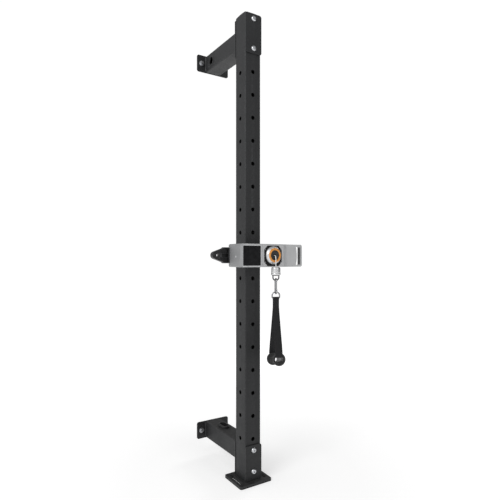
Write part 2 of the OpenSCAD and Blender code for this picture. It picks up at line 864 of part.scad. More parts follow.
module cable() {
    color("#f0f0ec")
        swept_tube([[nose_x, drop_y, lip_z], [nose_x, drop_y, (lip_z + stopper_z[1]) / 2],
            [nose_x, drop_y, stopper_z[1]]], cable_d, 8);
}

module cable_stopper() {
    h = stopper_z[1] - stopper_z[0];
    color(silver) translate([nose_x, drop_y, stopper_z[0]]) rotate_extrude($fn = 96)
        polygon([[0, 0], [19, 0], [20.5, 1.5], [20.5, 7], [19, 13], [18.6, h - 3], [16.4, h], [0, h]]);
}

// U-shaped bow that turns on a swivel under the stopper
module swivel_bow() {
    top = stopper_z[0];
    mid = bow_z + bow_r;
    color("#7d7f82") hanging() {
        translate([0, 0, mid]) rotate([90, 180, 0])
            rotate_extrude(angle = 180) translate([bow_r, 0]) circle(d = bow_rod, $fn = 32);
        for (s = [-1, 1]) translate([s * bow_r, 0, mid]) cylinder(d = bow_rod, h = top - 0.4 - 2 - mid);
        translate([0, 0, top - 0.4 - 3]) cylinder(r = bow_r + bow_rod / 2 + 1, h = 3);
    }
}

gate_z = [carriage_z - 145, carriage_z - 111.4];

// Snap hook seen edge-on, open where the gate closes it
module carabiner() {
    top_mid = hook_top - hook_r;
    low_mid = hook_bottom + hook_r;
    color(zinc) hanging() {
        translate([0, 0, top_mid]) rotate([90, 0, 90]) rotate_extrude(angle = 180)
            translate([hook_r, 0]) circle(d = hook_rod, $fn = 32);
        translate([0, 0, low_mid]) rotate([90, 180, 90]) rotate_extrude(angle = 180)
            translate([hook_r, 0]) circle(d = hook_rod, $fn = 32);
        translate([0, hook_r, low_mid]) cylinder(d = hook_rod, h = top_mid - low_mid);
        difference() {
            for (s = [-1, 1]) translate([s * 2.75, -hook_r, 0]) {
                translate([0, 0, gate_z[0]]) rotate([0, 90, 0]) cylinder(r = 2.6, h = 1.5, center = true);
                translate([-0.75, -2.6, low_mid - 1]) cube([1.5, 5.2, gate_z[0] - low_mid + 1]);
            }
            translate([0, -hook_r, gate_z[0]]) rod_x(-5, 5, 1.6);
        }
    }
}

module carabiner_gate() {
    color("#9a9c9f") hanging() translate([0, -hook_r, 0]) difference() {
        union() {
            translate([0, 0, gate_z[0] + 4]) cylinder(d = 5.6, h = gate_z[1] - gate_z[0] - 4);
            translate([0, 0, gate_z[0]]) rod_x(-1.8, 1.8, 4.8);
            translate([-1.8, -2.4, gate_z[0]]) cube([3.6, 4.8, 5]);
        }
        translate([0, 0, gate_z[0]]) rod_x(-5, 5, 1.6);
    }
}

module gate_pin() {
    color(zinc) hanging() translate([0, -hook_r, gate_z[0]]) rod_x(-3.4, 3.4, 1.52);
}

// ---- handle ----

module d_ring() {
    mid = ring_top - ring_r;
    color("#8c8e91") hanging() {
        translate([0, 0, mid]) rotate([90, 0, 0]) rotate_extrude(angle = 180)
            translate([ring_r, 0]) circle(d = ring_rod, $fn = 32);
        for (s = [-1, 1]) translate([s * ring_r, 0, bar_z]) cylinder(d = ring_rod, h = mid - bar_z);
        translate([0, 0, bar_z]) rod_x(-ring_r, ring_r, ring_rod);
        for (s = [-1, 1]) translate([s * ring_r, 0, bar_z]) sphere(d = ring_rod, $fn = 32);
    }
}

// Mitred offset of point i of an open line of [y, z] points, to one side of it
function beside(p, i, d) =
    let (a = i > 0 ? unit(p[i - 1], p[i]) : unit(p[0], p[1]),
         b = i < len(p) - 1 ? unit(p[i], p[i + 1]) : a,
         n = [-a[1] - b[1], a[0] + b[0]])
    p[i] + 2 * d * n / (n * n);

// Flat band of thickness t along an open line of points
module band(p, t) {
    n = len(p);
    polygon(concat([for (i = [0:n - 1]) beside(p, i, -t / 2)],
        [for (i = [n - 1:-1:0]) beside(p, i, t / 2)]));
}

// A point given along and above the grip, moved to the handle's frame
function on_tilt(y, z) = [y * cos(grip_tilt) + z * sin(grip_tilt),
    grip_z - y * sin(grip_tilt) + z * cos(grip_tilt)];

// Webbing round the ring's bar, sewn, and down each side of the hand space through the grip.
// It spreads a little above the grip and narrows again to pass through it
module handle_strap() {
    loop_r = ring_rod / 2 + 0.3;
    bore_z = 7;
    spread = 2;
    out = grip_len / 2 + 1.7;
    leg = [[out, 26], [out, 13], [out - 4.5, bore_z + 0.4], [out - 14, bore_z]];
    near = [for (p = leg) on_tilt(-p[0], p[1])];
    far = [for (i = [3:-1:0]) on_tilt(leg[i][0], leg[i][1])];
    w = strap_w / 2;
    side = [[w, bar_z + 10], [w, sewn_z], [w + spread, grip_z + 60], [w + spread, grip_z + 38],
        [w, grip_z + 27], [w, grip_z - 30]];
    color(black) hanging() intersection() {
        along_x(-w - spread, w + spread) difference() {
            union() {
                translate([0, bar_z]) circle(loop_r + strap_t);
                translate([-3.6, sewn_z]) square([7.2, bar_z - sewn_z - 4]);
                band(concat([[-2.3, sewn_z + 4]], near, far, [[2.3, sewn_z + 4]]), strap_t);
            }
            translate([0, bar_z]) circle(loop_r);
        }
        along_y(-120, 120) polygon(concat(side,
            [for (i = [len(side) - 1:-1:0]) [-side[i][0], side[i][1]]]));
    }
}

module grip_core() {
    color(black) on_grip() difference() {
        rod_y(-grip_len / 2 + disc_t / 2, grip_len / 2 - disc_t / 2, core_d);
        rod_y(-grip_len / 2, grip_len / 2, core_bore_d);
    }
}

// Round end discs with a recess for the webbing
module grip_discs() {
    r = disc_d / 2;
    color(black) on_grip() for (s = [0, 1]) mirror([0, s, 0])
        translate([0, -grip_len / 2, 0]) rotate([-90, 0, 0]) rotate_extrude($fn = 96) polygon([
            [21, 0], [r - 2, 0], [r, 2], [r, disc_t - 2], [r - 2, disc_t],
            [core_d / 2, disc_t], [core_d / 2, disc_t / 2], [core_bore_d / 2, disc_t / 2],
            [core_bore_d / 2, disc_t / 2 - 1], [19, disc_t / 2 - 1]]);
}

module grip_sleeve() {
    color("#1d1d1d") on_grip() difference() {
        rod_y(-grip_len / 2 + disc_t + 0.4, grip_len / 2 - disc_t - 0.4, grip_d);
        rod_y(-grip_len / 2, grip_len / 2, core_d + 0.12);
    }
}

upright();
upright_cap();
top_front_plate();
top_back_plate();
top_arm();
top_arm_grommet();
top_wall_plate();
bottom_front_plate();
bottom_back_plate();
bottom_arm();
bottom_arm_grommet();
bottom_wall_plate();
base_plate();
base_pad();
bracket_bolts();
bracket_nuts();
wall_bolts();
carriage_sleeve();
carriage_liners();
dock_plate();
dock_screws();
dock_tongue();
pin_housing();
lock_pin();
lock_knob();
screen_housing();
main_housing();
left_cover();
back_cover();
cover_screws();
screen();
power_button();
nose_bezel();
bezel_screws();
nose_cone();
nose_ring();
fairlead();
handle_insert();
battery_pack();
circuit_board();
drum_frame();
drum_bearings();
motor_stator();
cable_drum();
drum_shaft();
cable_wraps();
cable_lead();
cable();
cable_stopper();
swivel_bow();
carabiner();
carabiner_gate();
gate_pin();
d_ring();
handle_strap();
grip_core();
grip_discs();
grip_sleeve();
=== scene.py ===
import json
import math
import bpy
from mathutils import Matrix, Vector


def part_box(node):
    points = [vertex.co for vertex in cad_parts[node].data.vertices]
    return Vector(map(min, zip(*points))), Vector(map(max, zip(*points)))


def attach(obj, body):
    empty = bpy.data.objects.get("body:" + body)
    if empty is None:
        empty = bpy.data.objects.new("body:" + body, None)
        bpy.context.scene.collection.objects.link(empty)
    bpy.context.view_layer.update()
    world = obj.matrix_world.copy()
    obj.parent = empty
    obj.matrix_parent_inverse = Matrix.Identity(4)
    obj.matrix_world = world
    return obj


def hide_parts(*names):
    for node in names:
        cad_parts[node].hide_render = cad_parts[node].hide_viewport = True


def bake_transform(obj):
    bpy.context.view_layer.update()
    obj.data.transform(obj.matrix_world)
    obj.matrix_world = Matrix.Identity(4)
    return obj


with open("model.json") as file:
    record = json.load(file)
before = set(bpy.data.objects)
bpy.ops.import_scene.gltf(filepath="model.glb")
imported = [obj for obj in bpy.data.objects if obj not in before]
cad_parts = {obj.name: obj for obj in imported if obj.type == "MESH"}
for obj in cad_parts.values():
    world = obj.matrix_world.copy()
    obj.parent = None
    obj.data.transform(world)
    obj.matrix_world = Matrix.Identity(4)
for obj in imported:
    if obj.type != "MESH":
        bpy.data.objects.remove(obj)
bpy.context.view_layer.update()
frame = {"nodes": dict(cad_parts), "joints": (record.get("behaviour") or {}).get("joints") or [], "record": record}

nodes = frame["nodes"]
print("frame loaded:", len(nodes), "nodes")


cameraSet = {"place": (-1.0824, -1.6934, 0.9735), "turn": -32.84, "lens": 32.64, "shiftUp": 0.0184}
lightSet = {
    "backdrop": 1.03, "shade": 0.12, "fill": 0.85,
    "floor": {"color": 0.64, "glow": (0.47, 0.76), "reach": (0.5, 2.4)},
    "key": {"place": (-3.2, -1.2, 3.1), "aim": (0, 0, 1.1), "size": 2.2, "power": 62},
    "front": {"place": (0.6, -3.6, 2.4), "aim": (0, 0, 1.0), "size": 1.6, "power": 20},
    "rim": {"place": (2.6, 1.2, 2.6), "aim": (0, 0, 1.2), "size": 1.4, "power": 20},
}


def clearSelection():
    if bpy.context.object and bpy.context.object.mode != "OBJECT":
        bpy.ops.object.mode_set(mode="OBJECT")
    bpy.ops.object.select_all(action="DESELECT")


def pickOnly(obj):
    clearSelection()
    obj.select_set(True)
    bpy.context.view_layer.objects.active = obj


def setCamera():
    clearSelection()
    turn = (math.radians(90), 0, math.radians(cameraSet["turn"]))
    bpy.ops.object.camera_add(location=cameraSet["place"], rotation=turn)
    cam = bpy.context.object
    cam.name = "studioCamera"
    cam.data.lens = cameraSet["lens"]
    cam.data.sensor_width = 36
    cam.data.shift_y = cameraSet["shiftUp"]
    bpy.context.scene.camera = cam


def setLights():
    world = bpy.data.worlds.new("studioWorld")
    bpy.context.scene.world = world
    world.use_nodes = True
    tree = world.node_tree
    back = tree.nodes["Background"]
    place = addNode(tree, "ShaderNodeTexCoord")
    split = tree.nodes.new("ShaderNodeSeparateXYZ")
    tree.links.new(place.outputs["Generated"], split.inputs["Vector"])
    side = addRange(tree, split.outputs["X"], 0.75, -0.75, lightSet["shade"], lightSet["fill"])
    seen = addNode(tree, "ShaderNodeLightPath")
    tone = addMix(tree, seen.outputs["Is Camera Ray"], side, (lightSet["backdrop"],) * 3)
    tree.links.new(tone, back.inputs["Color"])
    for name in ("key", "front", "rim"):
        lamp = lightSet[name]
        clearSelection()
        bpy.ops.object.light_add(type="AREA", location=lamp["place"])
        obj = bpy.context.object
        obj.name = name + "Light"
        obj.data.shape = "DISK"
        obj.data.size = lamp["size"]
        obj.data.energy = lamp["power"]
        aim = Vector(lamp["aim"]) - Vector(lamp["place"])
        obj.rotation_euler = aim.to_track_quat("-Z", "Y").to_euler()


def addFloor():
    clearSelection()
    bpy.ops.mesh.primitive_plane_add(size=60, location=(0, 0, -0.0005))
    floor = bpy.context.object
    floor.name = "studioFloor"
    mat, tree, shader = newMaterial("floorPaper")
    paper = lightSet["floor"]
    shader.inputs["Base Color"].default_value = (*(paper["color"],) * 3, 1)
    shader.inputs["Emission Color"].default_value = (1, 1, 1, 1)
    away = addNode(tree, "ShaderNodeVectorMath", {"operation": "LENGTH"})
    tree.links.new(objectPlace(tree), away.inputs[0])
    glow = addRange(tree, away.outputs["Value"], *paper["reach"], *paper["glow"])
    tree.links.new(glow, shader.inputs["Emission Strength"])
    shader.inputs["Roughness"].default_value = 0.9
    shader.inputs["Specular IOR Level"].default_value = 0.0
    floor.data.materials.append(mat)


def newMaterial(name):
    mat = bpy.data.materials.new(name)
    mat.use_nodes = True
    tree = mat.node_tree
    shader = tree.nodes["Principled BSDF"]
    return mat, tree, shader


def newGroup(name, inputs, outputs):
    group = bpy.data.node_groups.new(name, "ShaderNodeTree")
    for label, kind, value in inputs:
        sock = group.interface.new_socket(label, in_out="INPUT", socket_type=kind)
        if value is not None:
            sock.default_value = value
    for label, kind in outputs:
        group.interface.new_socket(label, in_out="OUTPUT", socket_type=kind)
    return group, group.nodes.new("NodeGroupInput"), group.nodes.new("NodeGroupOutput")


def addNode(tree, kind, settings=None, **values):
    node = tree.nodes.new(kind)
    for key, value in (settings or {}).items():
        setattr(node, key, value)
    for key, value in values.items():
        node.inputs[key.replace("_", " ")].default_value = value
    return node


def addMath(tree, operation, a, b=None, clamp=False):
    node = tree.nodes.new("ShaderNodeMath")
    node.operation = operation
    node.use_clamp = clamp
    for index, value in enumerate((a, b)):
        if value is None:
            continue
        if isinstance(value, (int, float)):
            node.inputs[index].default_value = value
        else:
            tree.links.new(value, node.inputs[index])
    return node.outputs[0]


def addRange(tree, value, low, high, newLow, newHigh):
    node = addNode(tree, "ShaderNodeMapRange", {"clamp": True})
    tree.links.new(value, node.inputs["Value"])
    for label, number in (("From Min", low), ("From Max", high), ("To Min", newLow), ("To Max", newHigh)):
        if isinstance(number, (int, float)):
            node.inputs[label].default_value = number
        else:
            tree.links.new(number, node.inputs[label])
    return node.outputs["Result"]


def addMix(tree, factor, a, b):
    node = addNode(tree, "ShaderNodeMix", {"data_type": "RGBA"})
    for sock, value in ((node.inputs["Factor"], factor), (node.inputs[6], a), (node.inputs[7], b)):
        if isinstance(value, (int, float)):
            sock.default_value = value
        elif isinstance(value, tuple):
            sock.default_value = (*value, 1)
        else:
            tree.links.new(value, sock)
    return node.outputs[2]


# Fine raised grain of powder coat, moulded plastic or blasted metal
def makeGrain():
    group, start, end = newGroup("surfaceGrain",
        [("Vector", "NodeSocketVector", None), ("Scale", "NodeSocketFloat", 1500),
         ("Patch Scale", "NodeSocketFloat", 18)],
        [("Height", "NodeSocketFloat"), ("Patches", "NodeSocketFloat")])
    fine = addNode(group, "ShaderNodeTexNoise", Detail=3, Roughness=0.62)
    cells = addNode(group, "ShaderNodeTexVoronoi", {"feature": "SMOOTH_F1"}, Smoothness=0.6)
    broad = addNode(group, "ShaderNodeTexNoise", Detail=4, Roughness=0.6)
    for tex in (fine, cells, broad):
        group.links.new(start.outputs["Vector"], tex.inputs["Vector"])
    group.links.new(start.outputs["Scale"], fine.inputs["Scale"])
    group.links.new(start.outputs["Scale"], cells.inputs["Scale"])
    group.links.new(start.outputs["Patch Scale"], broad.inputs["Scale"])
    bumps = addMath(group, "MULTIPLY", cells.outputs["Distance"], 0.6)
    height = addMath(group, "ADD", fine.outputs["Fac"], bumps)
    group.links.new(height, end.inputs["Height"])
    group.links.new(addRange(group, broad.outputs["Fac"], 0.35, 0.65, 0, 1), end.inputs["Patches"])
    return group


# Edges rubbed lighter by handling, broken up by noise
def makeEdgeWear():
    group, start, end = newGroup("edgeWear",
        [("Vector", "NodeSocketVector", None), ("Color", "NodeSocketColor", (0.1, 0.1, 0.1, 1)),
         ("Worn Color", "NodeSocketColor", (0.4, 0.4, 0.4, 1)), ("Amount", "NodeSocketFloat", 0.5)],
        [("Color", "NodeSocketColor"), ("Mask", "NodeSocketFloat")])
    shape = group.nodes.new("ShaderNodeNewGeometry")
    noise = addNode(group, "ShaderNodeTexNoise", Scale=140, Detail=4)
    group.links.new(start.outputs["Vector"], noise.inputs["Vector"])
    edge = addRange(group, shape.outputs["Pointiness"], 0.515, 0.60, 0, 1)
    rough = addRange(group, noise.outputs["Fac"], 0.38, 0.62, 0.25, 1)
    mask = addMath(group, "MULTIPLY", addMath(group, "MULTIPLY", edge, rough), start.outputs["Amount"], True)
    group.links.new(addMix(group, mask, start.outputs["Color"], start.outputs["Worn Color"]), end.inputs["Color"])
    group.links.new(mask, end.inputs["Mask"])
    return group


# Thin dust that settles on faces that look up
def makeDust():
    group, start, end = newGroup("dustFilm",
        [("Vector", "NodeSocketVector", None), ("Color", "NodeSocketColor", (0.1, 0.1, 0.1, 1)),
         ("Amount", "NodeSocketFloat", 0.2)],
        [("Color", "NodeSocketColor"), ("Mask", "NodeSocketFloat")])
    shape = group.nodes.new("ShaderNodeNewGeometry")
    split = group.nodes.new("ShaderNodeSeparateXYZ")
    group.links.new(shape.outputs["Normal"], split.inputs["Vector"])
    noise = addNode(group, "ShaderNodeTexNoise", Scale=55, Detail=6, Roughness=0.7)
    group.links.new(start.outputs["Vector"], noise.inputs["Vector"])
    up = addRange(group, split.outputs["Z"], 0.6, 1, 0, 1)
    speck = addRange(group, noise.outputs["Fac"], 0.42, 0.68, 0.2, 1)
    mask = addMath(group, "MULTIPLY", addMath(group, "MULTIPLY", up, speck), start.outputs["Amount"], True)
    group.links.new(addMix(group, mask, start.outputs["Color"], (0.34, 0.33, 0.31)), end.inputs["Color"])
    group.links.new(mask, end.inputs["Mask"])
    return group


# Fine parallel lines left by brushing or turning, stretched along one direction
def makeBrushLines():
    group, start, end = newGroup("brushLines",
        [("Vector", "NodeSocketVector", None), ("Stretch", "NodeSocketVector", (1, 1, 60)),
         ("Scale", "NodeSocketFloat", 40)],
        [("Height", "NodeSocketFloat"), ("Mask", "NodeSocketFloat")])
    stretch = addNode(group, "ShaderNodeVectorMath", {"operation": "MULTIPLY"})
    group.links.new(start.outputs["Vector"], stretch.inputs[0])
    group.links.new(start.outputs["Stretch"], stretch.inputs[1])
    noise = addNode(group, "ShaderNodeTexNoise", Detail=5, Roughness=0.65)
    group.links.new(stretch.outputs["Vector"], noise.inputs["Vector"])
    group.links.new(start.outputs["Scale"], noise.inputs["Scale"])
    group.links.new(noise.outputs["Fac"], end.inputs["Height"])
    group.links.new(addRange(group, noise.outputs["Fac"], 0.35, 0.65, 0, 1), end.inputs["Mask"])
    return group


# Over-and-under weave on a UV map whose units are ribs
def makeWeave():
    group, start, end = newGroup("webbingWeave",
        [("UV", "NodeSocketVector", None), ("Ribs Across", "NodeSocketFloat", 14),
         ("Ribs Along", "NodeSocketFloat", 14)],
        [("Height", "NodeSocketFloat"), ("Shade", "NodeSocketFloat")])
    split = group.nodes.new("ShaderNodeSeparateXYZ")
    group.links.new(start.outputs["UV"], split.inputs["Vector"])
    across = addMath(group, "MULTIPLY", split.outputs["X"], start.outputs["Ribs Across"])
    along = addMath(group, "MULTIPLY", split.outputs["Y"], start.outputs["Ribs Along"])
    slant = addMath(group, "ADD", along, addMath(group, "PINGPONG", addMath(group, "MULTIPLY", across, 0.5), 1))
    warp = addMath(group, "ABSOLUTE", addMath(group, "SINE", addMath(group, "MULTIPLY", across, math.pi)))
    weft = addMath(group, "ABSOLUTE", addMath(group, "SINE", addMath(group, "MULTIPLY", slant, math.pi)))
    fuzz = addNode(group, "ShaderNodeTexNoise", Scale=90, Detail=4)
    group.links.new(start.outputs["UV"], fuzz.inputs["Vector"])
    body = addMath(group, "ADD", addMath(group, "MULTIPLY", warp, 0.55), addMath(group, "MULTIPLY", weft, 0.45))
    height = addMath(group, "ADD", body, addMath(group, "MULTIPLY", fuzz.outputs["Fac"], 0.3))
    group.links.new(height, end.inputs["Height"])
    group.links.new(addRange(group, height, 0.3, 1.1, 0, 1), end.inputs["Shade"])
    return group


def useGroup(tree, group, **values):
    node = tree.nodes.new("ShaderNodeGroup")
    node.node_tree = group
    for key, value in values.items():
        sock = node.inputs[key.replace("_", " ")]
        if isinstance(value, bpy.types.NodeSocket):
            tree.links.new(value, sock)
        else:
            sock.default_value = value
    return node


def objectPlace(tree):
    return tree.nodes.new("ShaderNodeTexCoord").outputs["Object"]


def addBump(tree, shader, height, depth, strength=1.0):
    bump = addNode(tree, "ShaderNodeBump", Strength=strength, Distance=depth)
    tree.links.new(height, bump.inputs["Height"])
    tree.links.new(bump.outputs["Normal"], shader.inputs["Normal"])


grainGroup = makeGrain()
wearGroup = makeEdgeWear()
dustGroup = makeDust()
brushGroup = makeBrushLines()
weaveGroup = makeWeave()
print("shader groups built")


# Painted, coated or moulded surface: grain, patchy sheen, rubbed edges and a little dust
def coatedMaterial(name, look):
    mat, tree, shader = newMaterial(name)
    place = objectPlace(tree)
    grain = useGroup(tree, grainGroup, Vector=place, Scale=look["grain"], Patch_Scale=look.get("patch", 14))
    dark = tuple(c * look.get("vary", 0.82) for c in look["color"])
    tone = addMix(tree, grain.outputs["Patches"], dark, look["color"])
    wear = useGroup(tree, wearGroup, Vector=place, Color=tone, Worn_Color=(*look["worn"], 1), Amount=look["wear"])
    dust = useGroup(tree, dustGroup, Vector=place, Color=wear.outputs["Color"], Amount=look.get("dust", 0.1))
    tree.links.new(dust.outputs["Color"], shader.inputs["Base Color"])
    low, high = look["rough"]
    tree.links.new(addRange(tree, grain.outputs["Patches"], 0, 1, low, high), shader.inputs["Roughness"])
    shader.inputs["Specular IOR Level"].default_value = look.get("shine", 0.4)
    shader.inputs["Metallic"].default_value = look.get("metal", 0.0)
    addBump(tree, shader, grain.outputs["Height"], look["depth"])
    return mat


# Bare or plated metal with brushed or turned lines
def metalMaterial(name, look):
    mat, tree, shader = newMaterial(name)
    place = objectPlace(tree)
    lines = useGroup(tree, brushGroup, Vector=place, Stretch=look["stretch"], Scale=look.get("scale", 40))
    dark = tuple(c * look.get("vary", 0.8) for c in look["color"])
    tone = addMix(tree, lines.outputs["Mask"], dark, look["color"])
    wear = useGroup(tree, wearGroup, Vector=place, Color=tone, Worn_Color=(*look["worn"], 1), Amount=look["wear"])
    tree.links.new(wear.outputs["Color"], shader.inputs["Base Color"])
    low, high = look["rough"]
    tree.links.new(addRange(tree, lines.outputs["Mask"], 0, 1, low, high), shader.inputs["Roughness"])
    shader.inputs["Metallic"].default_value = look.get("metal", 1.0)
    addBump(tree, shader, lines.outputs["Height"], look["depth"])
    return mat


coatLooks = {
    "blackPowderCoat": {"color": (0.0135, 0.014, 0.015), "worn": (0.06, 0.061, 0.064), "wear": 0.7, "grain": 900,
                        "patch": 9, "rough": (0.5, 0.64), "depth": 0.00012, "dust": 0.06, "shine": 0.35},
    "mouldedBlack": {"color": (0.016, 0.016, 0.017), "worn": (0.05, 0.05, 0.05), "wear": 0.5, "grain": 1600,
                     "rough": (0.42, 0.56), "depth": 0.00008, "dust": 0.05},
    "tongueNylon": {"color": (0.005, 0.005, 0.0055), "worn": (0.03, 0.03, 0.032), "wear": 0.8, "grain": 1300,
                    "rough": (0.36, 0.5), "depth": 0.0001, "dust": 0.04},
    "padRubber": {"color": (0.022, 0.022, 0.022), "worn": (0.05, 0.05, 0.05), "wear": 0.3, "grain": 700,
                  "rough": (0.75, 0.9), "depth": 0.0002, "dust": 0.1, "shine": 0.2},
    "linerPlastic": {"color": (0.66, 0.64, 0.58), "worn": (0.5, 0.48, 0.44), "wear": 0.5, "grain": 800,
                     "rough": (0.4, 0.55), "depth": 0.00005, "dust": 0.05},
    "blastedSilver": {"color": (0.43, 0.434, 0.44), "worn": (0.6, 0.61, 0.62), "wear": 0.15, "grain": 2200,
                      "patch": 22, "vary": 0.95, "rough": (0.46, 0.54), "depth": 0.00005, "dust": 0.03,
                      "metal": 0.35},
    # The left cover's copy of the housing silver, painted darker as painted shade on the head's left side
    "coverSilver": {"color": (0.26, 0.263, 0.268), "worn": (0.4, 0.41, 0.42), "wear": 0.1, "grain": 1800,
                    "patch": 16, "vary": 0.95, "rough": (0.48, 0.56), "depth": 0.00006, "dust": 0.02, "metal": 0.3},
    "woundCable": {"color": (0.7, 0.7, 0.69), "worn": (0.4, 0.4, 0.4), "wear": 0.3, "grain": 700,
                   "rough": (0.4, 0.5), "depth": 0.0001, "dust": 0.0},
    "bezelGloss": {"color": (0.006, 0.006, 0.006), "worn": (0.03, 0.03, 0.03), "wear": 0.3, "grain": 300,
                   "rough": (0.12, 0.22), "depth": 0.000005, "dust": 0.02, "shine": 0.25},
    "softInsert": {"color": (0.12, 0.12, 0.123), "worn": (0.1, 0.1, 0.1), "wear": 0.5, "grain": 1100,
                   "rough": (0.6, 0.75), "depth": 0.0001, "dust": 0.05},
    "orangeAnodised": {"color": (0.62, 0.23, 0.028), "worn": (0.95, 0.6, 0.25), "wear": 0.6, "grain": 1900,
                       "vary": 0.94, "rough": (0.3, 0.4), "depth": 0.00003, "dust": 0.0, "metal": 0.35},
    "batteryWrap": {"color": (0.04, 0.09, 0.18), "worn": (0.1, 0.2, 0.3), "wear": 0.4, "grain": 260,
                    "rough": (0.25, 0.4), "depth": 0.0001, "dust": 0.1},
    "boardMask": {"color": (0.02, 0.12, 0.045), "worn": (0.1, 0.3, 0.1), "wear": 0.3, "grain": 500,
                  "rough": (0.25, 0.4), "depth": 0.00005, "dust": 0.1},
    "gripMoulding": {"color": (0.012, 0.012, 0.0125), "worn": (0.06, 0.06, 0.06), "wear": 0.9, "grain": 1500,
                     "rough": (0.34, 0.48), "depth": 0.00008, "dust": 0.0},
    "gripRubber": {"color": (0.015, 0.015, 0.015), "worn": (0.04, 0.04, 0.04), "wear": 0.6, "grain": 900,
                   "rough": (0.6, 0.75), "depth": 0.0002, "dust": 0.03, "shine": 0.3},
}
metalLooks = {
    "zincPlate": {"color": (0.6, 0.61, 0.63), "worn": (0.8, 0.8, 0.8), "wear": 0.6, "stretch": (1, 1, 1),
                  "scale": 160, "rough": (0.24, 0.38), "depth": 0.00003},
    "blackScrew": {"color": (0.2, 0.2, 0.21), "worn": (0.5, 0.5, 0.5), "wear": 0.8, "stretch": (1, 1, 1),
                   "scale": 300, "rough": (0.35, 0.5), "depth": 0.00002},
    "turnedSilver": {"color": (0.62, 0.625, 0.63), "worn": (0.78, 0.78, 0.78), "wear": 0.6, "vary": 0.93,
                     "stretch": (1, 30, 1), "scale": 60, "rough": (0.28, 0.4), "depth": 0.00003, "metal": 0.8},
    "stopperSilver": {"color": (0.66, 0.665, 0.67), "worn": (0.9, 0.9, 0.9), "wear": 0.6, "vary": 0.9,
                      "stretch": (1, 1, 30), "scale": 60, "rough": (0.24, 0.36), "depth": 0.00003, "metal": 0.95},
    "bowSteel": {"color": (0.14, 0.14, 0.145), "worn": (0.4, 0.4, 0.4), "wear": 0.9, "stretch": (1, 1, 1),
                 "scale": 400, "rough": (0.22, 0.34), "depth": 0.00003},
    "hookChrome": {"color": (0.34, 0.342, 0.35), "worn": (0.6, 0.6, 0.6), "wear": 0.4, "stretch": (1, 1, 4),
                   "scale": 120, "rough": (0.08, 0.18), "depth": 0.00001},
    "ringSteel": {"color": (0.3, 0.3, 0.31), "worn": (0.7, 0.7, 0.7), "wear": 0.7, "stretch": (1, 1, 1),
                  "scale": 300, "rough": (0.16, 0.28), "depth": 0.00002},
    "castFrame": {"color": (0.55, 0.55, 0.57), "worn": (0.8, 0.8, 0.8), "wear": 0.5, "stretch": (1, 1, 1),
                  "scale": 500, "rough": (0.4, 0.55), "depth": 0.00008},
    "copperWinding": {"color": (0.5, 0.2, 0.08), "worn": (0.8, 0.4, 0.2), "wear": 0.4, "stretch": (1, 1, 25),
                      "scale": 60, "rough": (0.3, 0.45), "depth": 0.0002},
}


# Switched-off display: near black, glossy, with faint finger smears
def screenMaterial():
    mat, tree, shader = newMaterial("screenGlass")
    grain = useGroup(tree, grainGroup, Vector=objectPlace(tree), Scale=120, Patch_Scale=60)
    tone = addMix(tree, grain.outputs["Patches"], (0.0075, 0.0075, 0.008), (0.010, 0.010, 0.011))
    tree.links.new(tone, shader.inputs["Base Color"])
    tree.links.new(addRange(tree, grain.outputs["Patches"], 0, 1, 0.09, 0.2), shader.inputs["Roughness"])
    shader.inputs["Specular IOR Level"].default_value = 0.16
    return mat


# Translucent white key, faintly lit
def buttonMaterial():
    mat, tree, shader = newMaterial("buttonWhite")
    grain = useGroup(tree, grainGroup, Vector=objectPlace(tree), Scale=900, Patch_Scale=200)
    tone = addMix(tree, grain.outputs["Patches"], (0.42, 0.42, 0.43), (0.5, 0.5, 0.5))
    tree.links.new(tone, shader.inputs["Base Color"])
    shader.inputs["Roughness"].default_value = 0.35
    addBump(tree, shader, grain.outputs["Height"], 0.00002)
    return mat


# Pale coated rope: strands laid round it, on the piece's own map
def cableMaterial():
    mat, tree, shader = newMaterial("cableCoat")
    uv = addNode(tree, "ShaderNodeUVMap", {"uv_map": "lay"})
    weave = useGroup(tree, weaveGroup, UV=uv.outputs["UV"], Ribs_Across=10, Ribs_Along=1)
    tone = addMix(tree, weave.outputs["Shade"], (0.42, 0.42, 0.42), (0.82, 0.82, 0.8))
    tree.links.new(tone, shader.inputs["Base Color"])
    shader.inputs["Roughness"].default_value = 0.42
    addBump(tree, shader, weave.outputs["Height"], 0.0003)
    return mat


def webbingMaterial():
    mat, tree, shader = newMaterial("blackWebbing")
    uv = addNode(tree, "ShaderNodeUVMap", {"uv_map": "weave"})
    weave = useGroup(tree, weaveGroup, UV=uv.outputs["UV"], Ribs_Across=12, Ribs_Along=1)
    tone = addMix(tree, weave.outputs["Shade"], (0.003, 0.003, 0.0033), (0.014, 0.014, 0.015))
    tree.links.new(tone, shader.inputs["Base Color"])
    tree.links.new(addRange(tree, weave.outputs["Shade"], 0, 1, 0.9, 0.7), shader.inputs["Roughness"])
    shader.inputs["Sheen Weight"].default_value = 0.12
    shader.inputs["Sheen Roughness"].default_value = 0.5
    shader.inputs["Specular IOR Level"].default_value = 0.2
    addBump(tree, shader, weave.outputs["Height"], 0.0004)
    return mat


def threadMaterial():
    mat, tree, shader = newMaterial("blackThread")
    lines = useGroup(tree, brushGroup, Vector=objectPlace(tree), Stretch=(1, 1, 3), Scale=2500)
    tone = addMix(tree, lines.outputs["Mask"], (0.02, 0.02, 0.021), (0.07, 0.07, 0.072))
    tree.links.new(tone, shader.inputs["Base Color"])
    shader.inputs["Roughness"].default_value = 0.7
    addBump(tree, shader, lines.outputs["Height"], 0.0001)
    return mat


